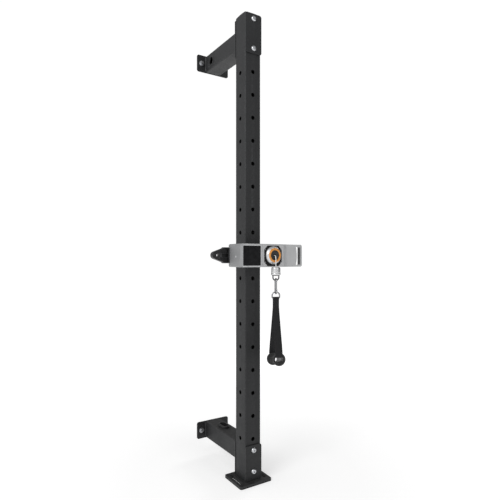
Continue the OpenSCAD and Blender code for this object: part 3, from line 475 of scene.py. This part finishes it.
# Turned face with rings about the outlet's axis
def turnedMaterial():
    mat, tree, shader = newMaterial("turnedSilver")
    look = metalLooks["turnedSilver"]
    lo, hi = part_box("nose_cone")
    centre = (lo + hi) / 2
    mapping = addNode(tree, "ShaderNodeMapping", Location=(-centre.x, 0, -centre.z))
    tree.links.new(objectPlace(tree), mapping.inputs["Vector"])
    rings = addNode(tree, "ShaderNodeTexWave",
        {"wave_type": "RINGS", "rings_direction": "Y"}, Scale=420, Distortion=0.6, Detail=2)
    tree.links.new(mapping.outputs["Vector"], rings.inputs["Vector"])
    tone = addMix(tree, rings.outputs["Fac"], tuple(c * 0.94 for c in look["color"]), look["color"])
    wear = useGroup(tree, wearGroup, Vector=objectPlace(tree), Color=tone, Worn_Color=(0.95, 0.95, 0.95, 1),
        Amount=look["wear"])
    tree.links.new(wear.outputs["Color"], shader.inputs["Base Color"])
    tree.links.new(addRange(tree, rings.outputs["Fac"], 0, 1, *look["rough"]), shader.inputs["Roughness"])
    shader.inputs["Metallic"].default_value = look["metal"]
    addBump(tree, shader, rings.outputs["Fac"], look["depth"])
    return mat


materials = {name: coatedMaterial(name, look) for name, look in coatLooks.items()}
materials.update({name: metalMaterial(name, look) for name, look in metalLooks.items() if name != "turnedSilver"})
materials.update({m.name: m for m in (screenMaterial(), buttonMaterial(), cableMaterial(), webbingMaterial(),
    threadMaterial(), turnedMaterial())})
print("materials built:", len(materials))

slotLooks = {
    "black_coat": "blackPowderCoat", "black_plastic": "mouldedBlack", "pad_rubber": "padRubber",
    "zinc_steel": "zincPlate", "liner_plastic": "linerPlastic", "tongue_black": "tongueNylon",
    "silver_housing": "blastedSilver", "screen_glass": "screenGlass", "button_white": "buttonWhite",
    "bezel_black": "bezelGloss", "dark_screws": "blackScrew", "cone_silver": "turnedSilver",
    "ring_gold": "orangeAnodised", "insert_grey": "softInsert", "battery_wrap": "batteryWrap",
    "board_green": "boardMask", "frame_aluminium": "castFrame", "bearing_steel": "hookChrome",
    "stator_copper": "copperWinding", "cable_white": "cableCoat", "stopper_silver": "stopperSilver",
    "bow_steel": "bowSteel", "hook_chrome": "hookChrome", "webbing_black": "blackWebbing",
    "grip_black": "gripMoulding", "grip_rubber": "gripRubber",
}
# The left cover takes the darker copy of the housing silver, which is painted shade on the head's left side
ownLooks = {"cable_wraps": "woundCable", "left_cover": "coverSilver"}
slotOf = {part["node"]: part["material_slot"] for part in frame["record"]["subparts"]}
for nodeName, obj in nodes.items():
    obj.data.materials.clear()
    obj.data.materials.append(materials[ownLooks.get(nodeName, slotLooks[slotOf[nodeName]])])

joints = {j["name"]: j for j in frame["joints"]}
bodyOf = {n: b for b, members in frame["record"]["behaviour"]["bodies"].items() for n in members}
mm = 0.001


def frameFrom(place, xAxis, yAxis):
    x, y = Vector(xAxis).normalized(), Vector(yAxis).normalized()
    turn = Matrix((x, y, x.cross(y))).transposed().to_4x4()
    return Matrix.Translation(place) @ turn


hangPlace = Vector(joints["swivel_turn"]["pos_m"])
hangPlace.z = 0
hangFrame = frameFrom(hangPlace, joints["hook_swing"]["axis"], joints["handle_swing"]["axis"])
gripPlace = Vector(joints["grip_roll"]["pos_m"])
gripFrame = frameFrom(gripPlace, joints["hook_swing"]["axis"], joints["grip_roll"]["axis"])
coneRoot = 6 * mm
coneLow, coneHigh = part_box("nose_cone")
unitFront = coneHigh.y - coneRoot
nosePlace = Vector(((coneLow.x + coneHigh.x) / 2, unitFront, (coneLow.z + coneHigh.z) / 2))
noseFrame = frameFrom(nosePlace, (1, 0, 0), (0, 0, 1))


def namePiece(piece, name, material):
    piece.name = name
    piece.data.name = name
    piece.data.materials.clear()
    piece.data.materials.append(materials[material])


# Names the piece, its body, its finish and the solids it stands for
def placePiece(piece, name, material, *stands):
    namePiece(piece, name, material)
    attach(piece, bodyOf[stands[0]])
    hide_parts(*stands)
    return piece


def useModifier(piece, kind, **settings):
    pickOnly(piece)
    mod = piece.modifiers.new(kind.title(), kind)
    for key, value in settings.items():
        setattr(mod, key, value)
    bpy.ops.object.modifier_apply(modifier=mod.name)


def roundEdges(piece, width, angle):
    useModifier(piece, "BEVEL", width=width * mm, segments=2, limit_method="ANGLE",
        angle_limit=math.radians(angle))


def selectWhere(piece, test):
    verts = piece.data.vertices
    for vert in verts:
        vert.select = test(vert.co)
    for flat in list(piece.data.edges) + list(piece.data.polygons):
        flat.select = all(verts[v].select for v in flat.vertices)


def smoothPiece(piece, angle=32):
    pickOnly(piece)
    bpy.ops.object.shade_smooth_by_angle(angle=math.radians(angle))


def fixNormals(piece):
    pickOnly(piece)
    bpy.ops.object.mode_set(mode="EDIT")
    bpy.ops.mesh.select_all(action="SELECT")
    bpy.ops.mesh.remove_doubles(threshold=0.000004)
    bpy.ops.mesh.normals_make_consistent(inside=False)
    bpy.ops.object.mode_set(mode="OBJECT")


# Moves a finished shape from its own frame to its place and leaves the object at the origin
def settle(piece, place):
    piece.matrix_world = place
    pickOnly(piece)
    bpy.ops.object.transform_apply(location=True, rotation=True, scale=True)


def joinPieces(first, *others):
    clearSelection()
    for other in others:
        other.select_set(True)
    first.select_set(True)
    bpy.context.view_layer.objects.active = first
    bpy.ops.object.join()
    return first


# Turned solid about Z from (radius, height) steps in millimetres; a bored one closes on itself
def turnedShape(rings, sides=96, bored=False):
    clearSelection()
    radius, height = rings[0]
    bpy.ops.mesh.primitive_circle_add(vertices=sides, radius=radius * mm,
        fill_type="NOTHING" if bored else "NGON", location=(0, 0, height * mm))
    piece = bpy.context.object
    bpy.ops.object.transform_apply(location=True, rotation=True, scale=True)
    bpy.ops.object.mode_set(mode="EDIT")
    steps = rings[1:] + ([rings[0]] if bored else [])
    for nextRadius, nextHeight in steps:
        bpy.ops.mesh.extrude_region_move(TRANSFORM_OT_translate={"value": (0, 0, (nextHeight - height) * mm)})
        grow = nextRadius / radius
        if abs(grow - 1) > 1e-6:
            bpy.ops.transform.resize(value=(grow, grow, 1), center_override=(0, 0, nextHeight * mm))
        radius, height = nextRadius, nextHeight
    bpy.ops.object.mode_set(mode="OBJECT")
    fixNormals(piece)
    return piece


# Round bar from a ring at the start, led straight ("go"), narrowed ("taper") or round a bend ("turn")
def bentBar(start, facing, radius, moves, sides=28, closed=False):
    clearSelection()
    bpy.ops.mesh.primitive_circle_add(vertices=sides, radius=radius * mm,
        fill_type="NOTHING", location=[v * mm for v in start], rotation=facing)
    piece = bpy.context.object
    bpy.ops.object.transform_apply(location=True, rotation=True, scale=True)
    bpy.ops.object.mode_set(mode="EDIT")
    if not closed:
        bpy.ops.mesh.edge_face_add()
        bpy.ops.mesh.select_all(action="SELECT")
    for kind, *values in moves:
        if kind in ("go", "taper"):
            bpy.ops.mesh.extrude_region_move(TRANSFORM_OT_translate={"value": [v * mm for v in values[0]]})
        if kind == "taper":
            grow, centre = values[1:]
            bpy.ops.transform.resize(value=(grow,) * 3, center_override=[v * mm for v in centre])
        if kind == "turn":
            centre, axis, angle, steps = values
            bpy.ops.mesh.spin(steps=steps, angle=-math.radians(angle), center=[v * mm for v in centre], axis=axis)
    bpy.ops.object.mode_set(mode="OBJECT")
    fixNormals(piece)
    return piece


# Copy of a solid with its triangles merged, flat faces cleaned and edges rounded
def softenedSolid(nodeName, name, width, segments=2, angle=30):
    piece = bpy.data.objects.new(name, nodes[nodeName].data.copy())
    bpy.context.scene.collection.objects.link(piece)
    pickOnly(piece)
    bpy.ops.object.mode_set(mode="EDIT")
    bpy.ops.mesh.select_all(action="SELECT")
    bpy.ops.mesh.remove_doubles(threshold=0.000005)
    bpy.ops.mesh.dissolve_limited(angle_limit=math.radians(0.4))
    bpy.ops.mesh.customdata_custom_splitnormals_clear()
    bpy.ops.object.mode_set(mode="OBJECT")
    useModifier(piece, "BEVEL", width=width * mm, segments=segments, limit_method="ANGLE",
        angle_limit=math.radians(angle), use_clamp_overlap=True)
    useModifier(piece, "TRIANGULATE", min_vertices=5)
    smoothPiece(piece, 34)
    useModifier(piece, "WEIGHTED_NORMAL", weight=100, keep_sharp=True)
    return placePiece(piece, name, ownLooks.get(nodeName, slotLooks[slotOf[nodeName]]), nodeName)


softenedSet = {
    "upright": 0.7, "top_front_plate": 1.0, "top_back_plate": 1.0, "bottom_front_plate": 1.0,
    "bottom_back_plate": 1.0, "top_arm": 0.7, "bottom_arm": 0.7, "top_wall_plate": 1.0,
    "bottom_wall_plate": 1.0, "base_plate": 1.2, "base_pad": 0.8, "upright_cap": 0.8,
    "bottom_arm_grommet": 1.4, "top_arm_grommet": 0.5, "bracket_bolts": 0.5, "bracket_nuts": 0.5,
    "wall_bolts": 0.6, "carriage_sleeve": 1.0, "dock_plate": 0.8, "dock_tongue": 1.1, "pin_housing": 0.9,
    "lock_knob": 1.0, "screen_housing": 1.0, "main_housing": 1.0, "back_cover": 0.5,
    "screen": 0.25, "nose_bezel": 0.35, "bezel_screws": 0.3, "handle_insert": 0.5, "power_button": 0.4,
    "carabiner_gate": 0.5, "drum_frame": 0.5, "grip_core": 0.4,
}
for nodeName, width in softenedSet.items():
    words = nodeName.split("_")
    softenedSolid(nodeName, words[0] + "".join(w.title() for w in words[1:]) + "Piece", width)
print("softened solids:", len(softenedSet))


noseSet = {
    "coneRings": [(24.6, -6), (29.8, -6), (29.8, 0.8), (37.6, 0.8), (38, 1.2), (38, 2.6), (37.7, 4), (37, 5.8),
                  (36, 7.6), (34.7, 9.4), (33.2, 11.2), (31.8, 12.6), (31, 13.1), (30.4, 13.2), (24.6, 13.2)],
    "ringRings": [(21.4, 13.25), (30, 13.25), (30, 15), (29.8, 15.6), (29.2, 16), (22.3, 16), (21.7, 15.7),
                  (21.4, 15.1)],
    "mouth": {"throat": 3.3, "flare": 8, "start": 5.6, "steps": 9},
    "faceRings": [(14.5, 13.6), (15, 13.1), (15.8, 13.1), (16.3, 13.7), (19, 13.9), (19.5, 13.4), (20.3, 13.4),
                  (20.8, 14), (21.2, 14), (21.2, 12.9), (24.3, 12.9), (24.3, -6), (3.3, -6)],
}


# Outlet nose: turned cone, coloured ring and the black mouth that guides the cable
def makeNose():
    cone = turnedShape(noseSet["coneRings"], 128, bored=True)
    settle(cone, noseFrame)
    smoothPiece(cone, 30)
    placePiece(cone, "noseCone", "turnedSilver", "nose_cone")
    ring = turnedShape(noseSet["ringRings"], 128, bored=True)
    settle(ring, noseFrame)
    smoothPiece(ring, 40)
    placePiece(ring, "noseRing", "orangeAnodised", "nose_ring")
    mouth = noseSet["mouth"]
    curve = []
    for step in range(mouth["steps"]):
        a = math.radians(90 * step / (mouth["steps"] - 1))
        curve.append((mouth["throat"] + mouth["flare"] * (1 - math.cos(a)),
            mouth["start"] + mouth["flare"] * math.sin(a)))
    guide = turnedShape(curve + noseSet["faceRings"], 96, bored=True)
    settle(guide, noseFrame)
    smoothPiece(guide, 40)
    placePiece(guide, "cableMouth", "mouldedBlack", "fairlead")


makeNose()
print("nose made")


stopperLow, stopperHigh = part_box("cable_stopper")
stopperSet = {
    "rings": [(17, 0), (19, 0.3), (20.1, 1), (20.5, 2), (20.5, 6.4), (20.1, 7.2), (19.3, 8), (19.2, 8.8),
              (19.4, 9.6), (19.2, 13), (18.8, 28), (18.5, 30), (17.8, 31.6), (16.4, 32.6), (14.6, 33), (7, 33),
              (6.2, 32.6), (5.8, 31.4), (2.6, 31.2)],
    "cableRadius": 2, "bend": 12, "lay": 18, "plunge": 1.6, "leadSteps": 14, "lipSteps": 4, "dropSteps": 8,
}


def makeStopper():
    stopper = turnedShape(stopperSet["rings"], 96)
    settle(stopper, Matrix.Translation((hangPlace.x, hangPlace.y, stopperLow.z)))
    smoothPiece(stopper, 36)
    placePiece(stopper, "cableStopper", "stopperSilver", "cable_stopper")


# Lays a strand pattern round the cable and along it
def layCable(piece, path):
    layer = piece.data.uv_layers.new(name="lay")
    lengths = [0]
    for a, b in zip(path, path[1:]):
        lengths.append(lengths[-1] + (b - a).length)
    for poly in piece.data.polygons:
        for loop in poly.loop_indices:
            co = piece.data.vertices[piece.data.loops[loop].vertex_index].co
            best = min(range(len(path)), key=lambda i: (path[i] - co).length)
            out = co - path[best]
            along = (path[min(best + 1, len(path) - 1)] - path[max(best - 1, 0)]).normalized()
            layer.data[loop].uv = (0.5 + math.atan2(out.x, abs(out.z) + abs(out.y)) / math.pi,
                (lengths[best] + out.dot(along)) / (stopperSet["lay"] * mm))


# One cable from the drum, out of the mouth and down into the stopper
def makeCable():
    radius, bend = stopperSet["cableRadius"], stopperSet["bend"]
    leadLow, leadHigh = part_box("cable_lead")
    x, z = hangPlace.x / mm, nosePlace.z / mm
    startY, dropY, lipZ = leadHigh.y / mm, hangPlace.y / mm, leadLow.z / mm
    turnY = dropY + bend
    endZ = stopperHigh.z / mm - stopperSet["plunge"]
    leadSteps, lipSteps, dropSteps = (stopperSet[key] for key in ("leadSteps", "lipSteps", "dropSteps"))
    leadStep = (turnY - startY) / leadSteps
    lipStep, dropStep = (lipZ - z + bend) / lipSteps, (endZ - lipZ) / dropSteps
    path = [(startY + leadStep * i, z) for i in range(leadSteps + 1)]
    for degrees in range(10, 91, 10):
        a = math.radians(degrees)
        path.append((turnY - bend * math.sin(a), z - bend + bend * math.cos(a)))
    path += [(dropY, z - bend + lipStep * i) for i in range(1, lipSteps + 1)]
    path += [(dropY, lipZ + dropStep * i) for i in range(1, dropSteps + 1)]
    path = [Vector((x, y, up)) * mm for y, up in path]
    straight = [("go", (0, leadStep, 0))] * leadSteps
    down = [("go", (0, 0, lipStep))] * lipSteps + [("go", (0, 0, dropStep))] * dropSteps
    cable = bentBar((x, startY, z), (math.radians(90), 0, 0), radius,
        straight + [("turn", (x, turnY, z - bend), (1, 0, 0), 90, 9)] + down, sides=16)
    smoothPiece(cable, 60)
    layCable(cable, path)
    namePiece(cable, "pullCable", "cableCoat")
    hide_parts("cable", "cable_lead")
    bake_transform(cable)


makeStopper()
makeCable()
print("cable and stopper made")


hookSet = {
    "bowRadius": 12.5, "bowBar": 3, "bowSink": 1.5, "hookRadius": 12, "hookBar": 3.5,
    "cheek": {"radius": 2.6, "out": 2.75, "thick": 1.5, "belt": 0.2, "drop": 3.4, "edge": 0.3},
    "nose": {"above": 0.6, "length": 0.5, "taper": 0.86},
    "ringRadius": 16, "ringBar": 3, "ringCorner": 4.5,
    "disc": [(14, 3), (16, 2.8), (16.5, 2.2), (16.5, 0.7), (16, 0.1), (6, 0)],
}


# Steel bow under the stopper, with the disc it turns on
def makeBow():
    low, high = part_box("swivel_bow")
    r, bar = hookSet["bowRadius"], hookSet["bowBar"]
    mid, top = low.z / mm + bar + r, high.z / mm
    ends = top - hookSet["bowSink"]
    bow = bentBar((-r, 0, ends), (0, 0, 0), bar, [("go", (0, 0, mid - ends)),
        ("turn", (0, 0, mid), (0, 1, 0), -180, 28), ("go", (0, 0, ends - mid))])
    disc = turnedShape([(radius, top - down) for radius, down in hookSet["disc"]], 64)
    bow = joinPieces(bow, disc)
    settle(bow, hangFrame)
    smoothPiece(bow, 40)
    placePiece(bow, "swivelBow", "bowSteel", "swivel_bow")


# Snap hook: one bent bar, its nose and the two cheeks of the gate's hinge
def makeHook():
    low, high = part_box("carabiner")
    r, bar, cheek = hookSet["hookRadius"], hookSet["hookBar"], hookSet["cheek"]
    lowMid, topMid = low.z / mm + bar + r, high.z / mm - bar - r
    hingeZ = Vector(joints["gate_open"]["pos_m"]).z / mm
    nose = hookSet["nose"]
    hook = bentBar((0, -r, lowMid + nose["above"]), (0, 0, 0), bar, [("go", (0, 0, -nose["above"])),
        ("turn", (0, 0, lowMid), (1, 0, 0), 180, 28), ("go", (0, 0, topMid - lowMid)),
        ("turn", (0, 0, topMid), (1, 0, 0), 180, 28),
        ("taper", (0, 0, -nose["length"]), nose["taper"], (0, -r, topMid - nose["length"]))])
    for side in (-1, 1):
        clearSelection()
        bpy.ops.mesh.primitive_cylinder_add(vertices=32, radius=cheek["radius"] * mm, depth=cheek["thick"] * mm,
            location=(side * cheek["out"] * mm, -r * mm, hingeZ * mm), rotation=(0, math.radians(90), 0))
        plate = bpy.context.object
        bpy.ops.object.transform_apply(location=True, rotation=True, scale=True)
        selectWhere(plate, lambda co: co.z < (hingeZ - cheek["belt"]) * mm)
        bpy.ops.object.mode_set(mode="EDIT")
        bpy.ops.transform.translate(value=(0, 0, -cheek["drop"] * mm))
        bpy.ops.object.mode_set(mode="OBJECT")
        roundEdges(plate, cheek["edge"], 50)
        hook = joinPieces(hook, plate)
    settle(hook, hangFrame)
    smoothPiece(hook, 40)
    placePiece(hook, "snapHook", "hookChrome", "carabiner")


# D-ring with rounded lower corners
def makeRing():
    low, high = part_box("d_ring")
    r, bar, c = hookSet["ringRadius"], hookSet["ringBar"], hookSet["ringCorner"]
    barZ, mid = low.z / mm + bar, high.z / mm - bar - r
    flat, rise = r - c, mid - barZ - c
    ring = bentBar((0, 0, barZ), (0, math.radians(90), 0), bar, [("go", (flat, 0, 0)),
        ("turn", (flat, 0, barZ + c), (0, 1, 0), -90, 8), ("go", (0, 0, rise)),
        ("turn", (0, 0, mid), (0, 1, 0), -180, 30), ("go", (0, 0, -rise)),
        ("turn", (-flat, 0, barZ + c), (0, 1, 0), -90, 8), ("go", (flat, 0, 0))], closed=True)
    settle(ring, hangFrame)
    smoothPiece(ring, 50)
    placePiece(ring, "strapRing", "ringSteel", "d_ring")
    return barZ


makeBow()
makeHook()
strapBarZ = makeRing()
print("bow, hook and ring made")


gripSet = {
    "half": 64,
    "discRings": [(21, 0.2), (21.4, 0), (24.4, 0), (25.2, 0.3), (26, 1), (26.5, 2), (26.5, 6), (26, 7.2), (25, 8),
                  (17.8, 8), (17.8, 4.2), (16.1, 4.2), (16.1, 3), (19, 3), (20.4, 1.2)],
    "sleeve": {"outer": 20.5, "inner": 17.9, "half": 55.4, "pitch": 5.6, "groove": 0.9, "plain": 6,
               "rim": [(1, 0), (0.2, 0.6), (0, 1.6)],
               "rib": [(-1.5, 0), (-0.8, 0.7), (0, 1), (0.8, 0.7), (1.5, 0)]},
}


# Two flanged discs, and the ribbed sleeve that turns between them
def makeGrip():
    half = gripSet["half"]
    disc = turnedShape(gripSet["discRings"], 96, bored=True)
    smoothPiece(disc, 38)
    far = disc.copy()
    far.data = disc.data.copy()
    bpy.context.scene.collection.objects.link(far)
    alongNear = frameFrom((0, -half * mm, 0), (1, 0, 0), (0, 0, -1))
    alongFar = frameFrom((0, half * mm, 0), (1, 0, 0), (0, 0, 1))
    settle(disc, gripFrame @ alongNear)
    settle(far, gripFrame @ alongFar)
    disc = joinPieces(disc, far)
    placePiece(disc, "gripDiscs", "gripMoulding", "grip_discs")
    look = gripSet["sleeve"]
    outer, end = look["outer"], look["half"]
    rings = [(look["inner"], -end)] + [(outer - inset, up - end) for inset, up in look["rim"]]
    count = int((2 * end - look["plain"]) / look["pitch"])
    start = -count * look["pitch"] / 2
    for i in range(count):
        z = start + (i + 0.5) * look["pitch"]
        rings += [(outer - look["groove"] * share, z + up) for up, share in look["rib"]]
    rings += [(outer - inset, end - up) for inset, up in reversed(look["rim"])] + [(look["inner"], end)]
    sleeve = turnedShape(rings, 80, bored=True)
    settle(sleeve, gripFrame @ frameFrom((0, 0, 0), (1, 0, 0), (0, 0, -1)))
    smoothPiece(sleeve, 50)
    placePiece(sleeve, "gripSleeve", "gripRubber", "grip_sleeve")


makeGrip()
print("grip made")


strapSet = {
    "thick": 2.2, "half": 13, "spread": 15, "sewn": 39, "gap": 2.35, "loop": 4.45, "outer": 65.7, "bore": 7,
    "corner": [(0, 26, 14.8), (0, 18, 13.9), (0.3, 14, 13.3), (1.7, 10.6, 13), (4.5, 7.9, 13), (9, 7.1, 13)],
    "boreRun": (40, 20, 0, -20, -40), "legParts": 13, "legBow": 1.1, "wideFor": 0.18, "narrowOver": 0.7,
    "block": {"join": 2, "low": 4, "high": 10}, "neck": {"in": 0.9, "down": 5},
    "ribs": 2.1, "edge": 0.7, "filler": {"half": 12.6, "thick": 2.4, "heights": (0, 10, 22, 31), "edge": 0.6},
    "thread": 0.34, "stitch": 3.1, "seam": {"low": 4.5, "high": 24, "half": 9.6}, "stretch": 3.2,
}


# Points of the webbing's middle line, as (distance from the cable's axis, height), and its half width at each
def strapPath():
    tilt = math.acos(max(-1, min(1, Vector(joints["grip_roll"]["axis"]).normalized().dot(
        Vector(joints["handle_swing"]["axis"]).normalized()))))
    centreZ = gripPlace.z / mm
    half, spread, gap, loop = strapSet["half"], strapSet["spread"], strapSet["gap"], strapSet["loop"]
    sewnZ = strapBarZ - strapSet["sewn"]
    out, bore = strapSet["outer"], strapSet["bore"]

    def onTilt(y, z):
        return (y * math.cos(tilt) + z * math.sin(tilt), centreZ - y * math.sin(tilt) + z * math.cos(tilt))

    corner = [(out - inset, up, wide) for inset, up, wide in strapSet["corner"]]
    block, neck, parts = strapSet["block"], strapSet["neck"], strapSet["legParts"]
    legTop = (gap, sewnZ + block["join"])
    footY, footZ = corner[0][:2]

    def leg(foot, side):
        top = Vector((side * legTop[0], legTop[1]))
        low = Vector(foot)
        run = []
        for i in range(1, parts):
            t = i / parts
            at = low.lerp(top, t)
            bow = strapSet["legBow"] * math.sin(math.pi * t) * -side
            narrowed = min(1, max(0, t - strapSet["wideFor"]) / strapSet["narrowOver"])
            run.append(((at.x + bow, at.y), spread + (half - spread) * narrowed))
        return run

    rise = [(gap, sewnZ + block["low"]), (gap, strapBarZ - block["high"]),
        (loop - neck["in"], strapBarZ - neck["down"])]
    points = [(onTilt(-y, z), wide) for y, z, wide in reversed(corner)]
    points += leg(onTilt(-footY, footZ), -1)
    points += [((-y, z), half) for y, z in rise]
    for a in range(200, -21, -15):
        points.append(((loop * math.cos(math.radians(a)), strapBarZ + loop * math.sin(math.radians(a))), half))
    points += [(at, half) for at in reversed(rise)]
    points += list(reversed(leg(onTilt(footY, footZ), 1)))
    points += [(onTilt(y, z), wide) for y, z, wide in corner]
    points += [(onTilt(y, bore), half) for y in strapSet["boreRun"]]
    return points, sewnZ


# Webbing swept along the points, one edge at a time, as a sheet without thickness
def sweepWebbing(points, closed):
    clearSelection()
    bpy.ops.mesh.primitive_plane_add(size=1)
    piece = bpy.context.object
    selectWhere(piece, lambda co: co.y > 0)
    bpy.ops.object.mode_set(mode="EDIT")
    bpy.ops.mesh.delete(type="VERT")
    bpy.ops.object.mode_set(mode="OBJECT")
    (y, z), wide = points[0]
    for vert in piece.data.vertices:
        vert.co = Vector((math.copysign(wide, vert.co.x), y, z)) * mm
    bpy.ops.object.mode_set(mode="EDIT")
    bpy.ops.mesh.select_all(action="SELECT")
    steps = points[1:] + ([points[0]] if closed else [])
    for (nextY, nextZ), nextWide in steps:
        bpy.ops.mesh.extrude_region_move(TRANSFORM_OT_translate={"value": (0, (nextY - y) * mm, (nextZ - z) * mm)})
        if abs(nextWide - wide) > 1e-4:
            bpy.ops.transform.resize(value=(nextWide / wide, 1, 1), center_override=(0, nextY * mm, nextZ * mm))
        y, z, wide = nextY, nextZ, nextWide
    bpy.ops.object.mode_set(mode="OBJECT")
    return piece


def mapWebbing(piece, points):
    layer = piece.data.uv_layers.new(name="weave")
    count = len(points)
    run = [0]
    for a, b in zip(points, points[1:] + [points[0]]):
        run.append(run[-1] + math.dist(a[0], b[0]))
    for index, poly in enumerate(piece.data.polygons):
        for loop in poly.loop_indices:
            vert = piece.data.loops[loop].vertex_index
            row = vert // 2
            if index == count - 1 and row == 0:
                row = count
            side = 1 if piece.data.vertices[vert].co.x > 0 else 0
            layer.data[loop].uv = (side, run[min(row, count)] / strapSet["ribs"])


def makeStrap():
    points, sewnZ = strapPath()
    strap = sweepWebbing(points, True)
    mapWebbing(strap, points)
    pickOnly(strap)
    bpy.ops.object.mode_set(mode="EDIT")
    bpy.ops.mesh.select_all(action="SELECT")
    bpy.ops.mesh.remove_doubles(threshold=0.00001)
    bpy.ops.mesh.normals_make_consistent(inside=False)
    bpy.ops.mesh.select_all(action="SELECT")
    bpy.ops.mesh.subdivide(number_cuts=1, smoothness=0)
    bpy.ops.object.mode_set(mode="OBJECT")
    useModifier(strap, "SOLIDIFY", thickness=strapSet["thick"] * mm, offset=0)
    roundEdges(strap, strapSet["edge"], 60)
    filling = strapSet["filler"]
    filler = sweepWebbing([((0, sewnZ + up), filling["half"]) for up in filling["heights"]], False)
    layer = filler.data.uv_layers.new(name="weave")
    for poly in filler.data.polygons:
        for loop in poly.loop_indices:
            co = filler.data.vertices[filler.data.loops[loop].vertex_index].co
            layer.data[loop].uv = (1 if co.x > 0 else 0, co.z / (strapSet["ribs"] * mm))
    useModifier(filler, "SOLIDIFY", thickness=filling["thick"] * mm, offset=0)
    roundEdges(filler, filling["edge"], 60)
    strap = joinPieces(strap, filler)
    settle(strap, hangFrame)
    smoothPiece(strap, 60)
    placePiece(strap, "handleWebbing", "blackWebbing", "handle_strap")
    return sewnZ


# One raised stitch, copied along the box and the cross of the seam on both faces
def makeStitches(sewnZ):
    seamBox = strapSet["seam"]
    low, high, half = sewnZ + seamBox["low"], sewnZ + seamBox["high"], seamBox["half"]
    corners = [(-half, low), (half, low), (half, high), (-half, high)]
    runs = list(zip(corners, corners[1:] + corners[:1])) + [(corners[0], corners[2]), (corners[1], corners[3])]
    depth = strapSet["gap"] + strapSet["thick"] / 2
    clearSelection()
    bpy.ops.mesh.primitive_uv_sphere_add(segments=8, ring_count=5, radius=strapSet["thread"] * mm)
    stitch = bpy.context.object
    stitch.scale = (strapSet["stretch"], 1, 1)
    bpy.ops.object.transform_apply(location=True, rotation=True, scale=True)
    made = []
    for a, b in runs:
        a, b = Vector(a), Vector(b)
        count = int((b - a).length / strapSet["stitch"])
        angle = math.atan2(b.y - a.y, b.x - a.x)
        for i in range(count):
            at = a.lerp(b, (i + 0.5) / count)
            for side in (-1, 1):
                copy = stitch.copy()
                copy.data = stitch.data.copy()
                bpy.context.scene.collection.objects.link(copy)
                copy.matrix_world = (hangFrame @ Matrix.Translation((at.x * mm, side * depth * mm, at.y * mm))
                    @ Matrix.Rotation(-angle, 4, "Y"))
                made.append(copy)
    bpy.data.objects.remove(stitch)
    seam = joinPieces(made[0], *made[1:])
    pickOnly(seam)
    bpy.ops.object.transform_apply(location=True, rotation=True, scale=True)
    smoothPiece(seam, 60)
    namePiece(seam, "seamStitches", "blackThread")
    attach(seam, "handle")


makeStitches(makeStrap())
print("webbing and stitches made")


setCamera()
setLights()
addFloor()
bpy.context.scene.view_settings.view_transform = "Standard"
print("camera, light and floor set")
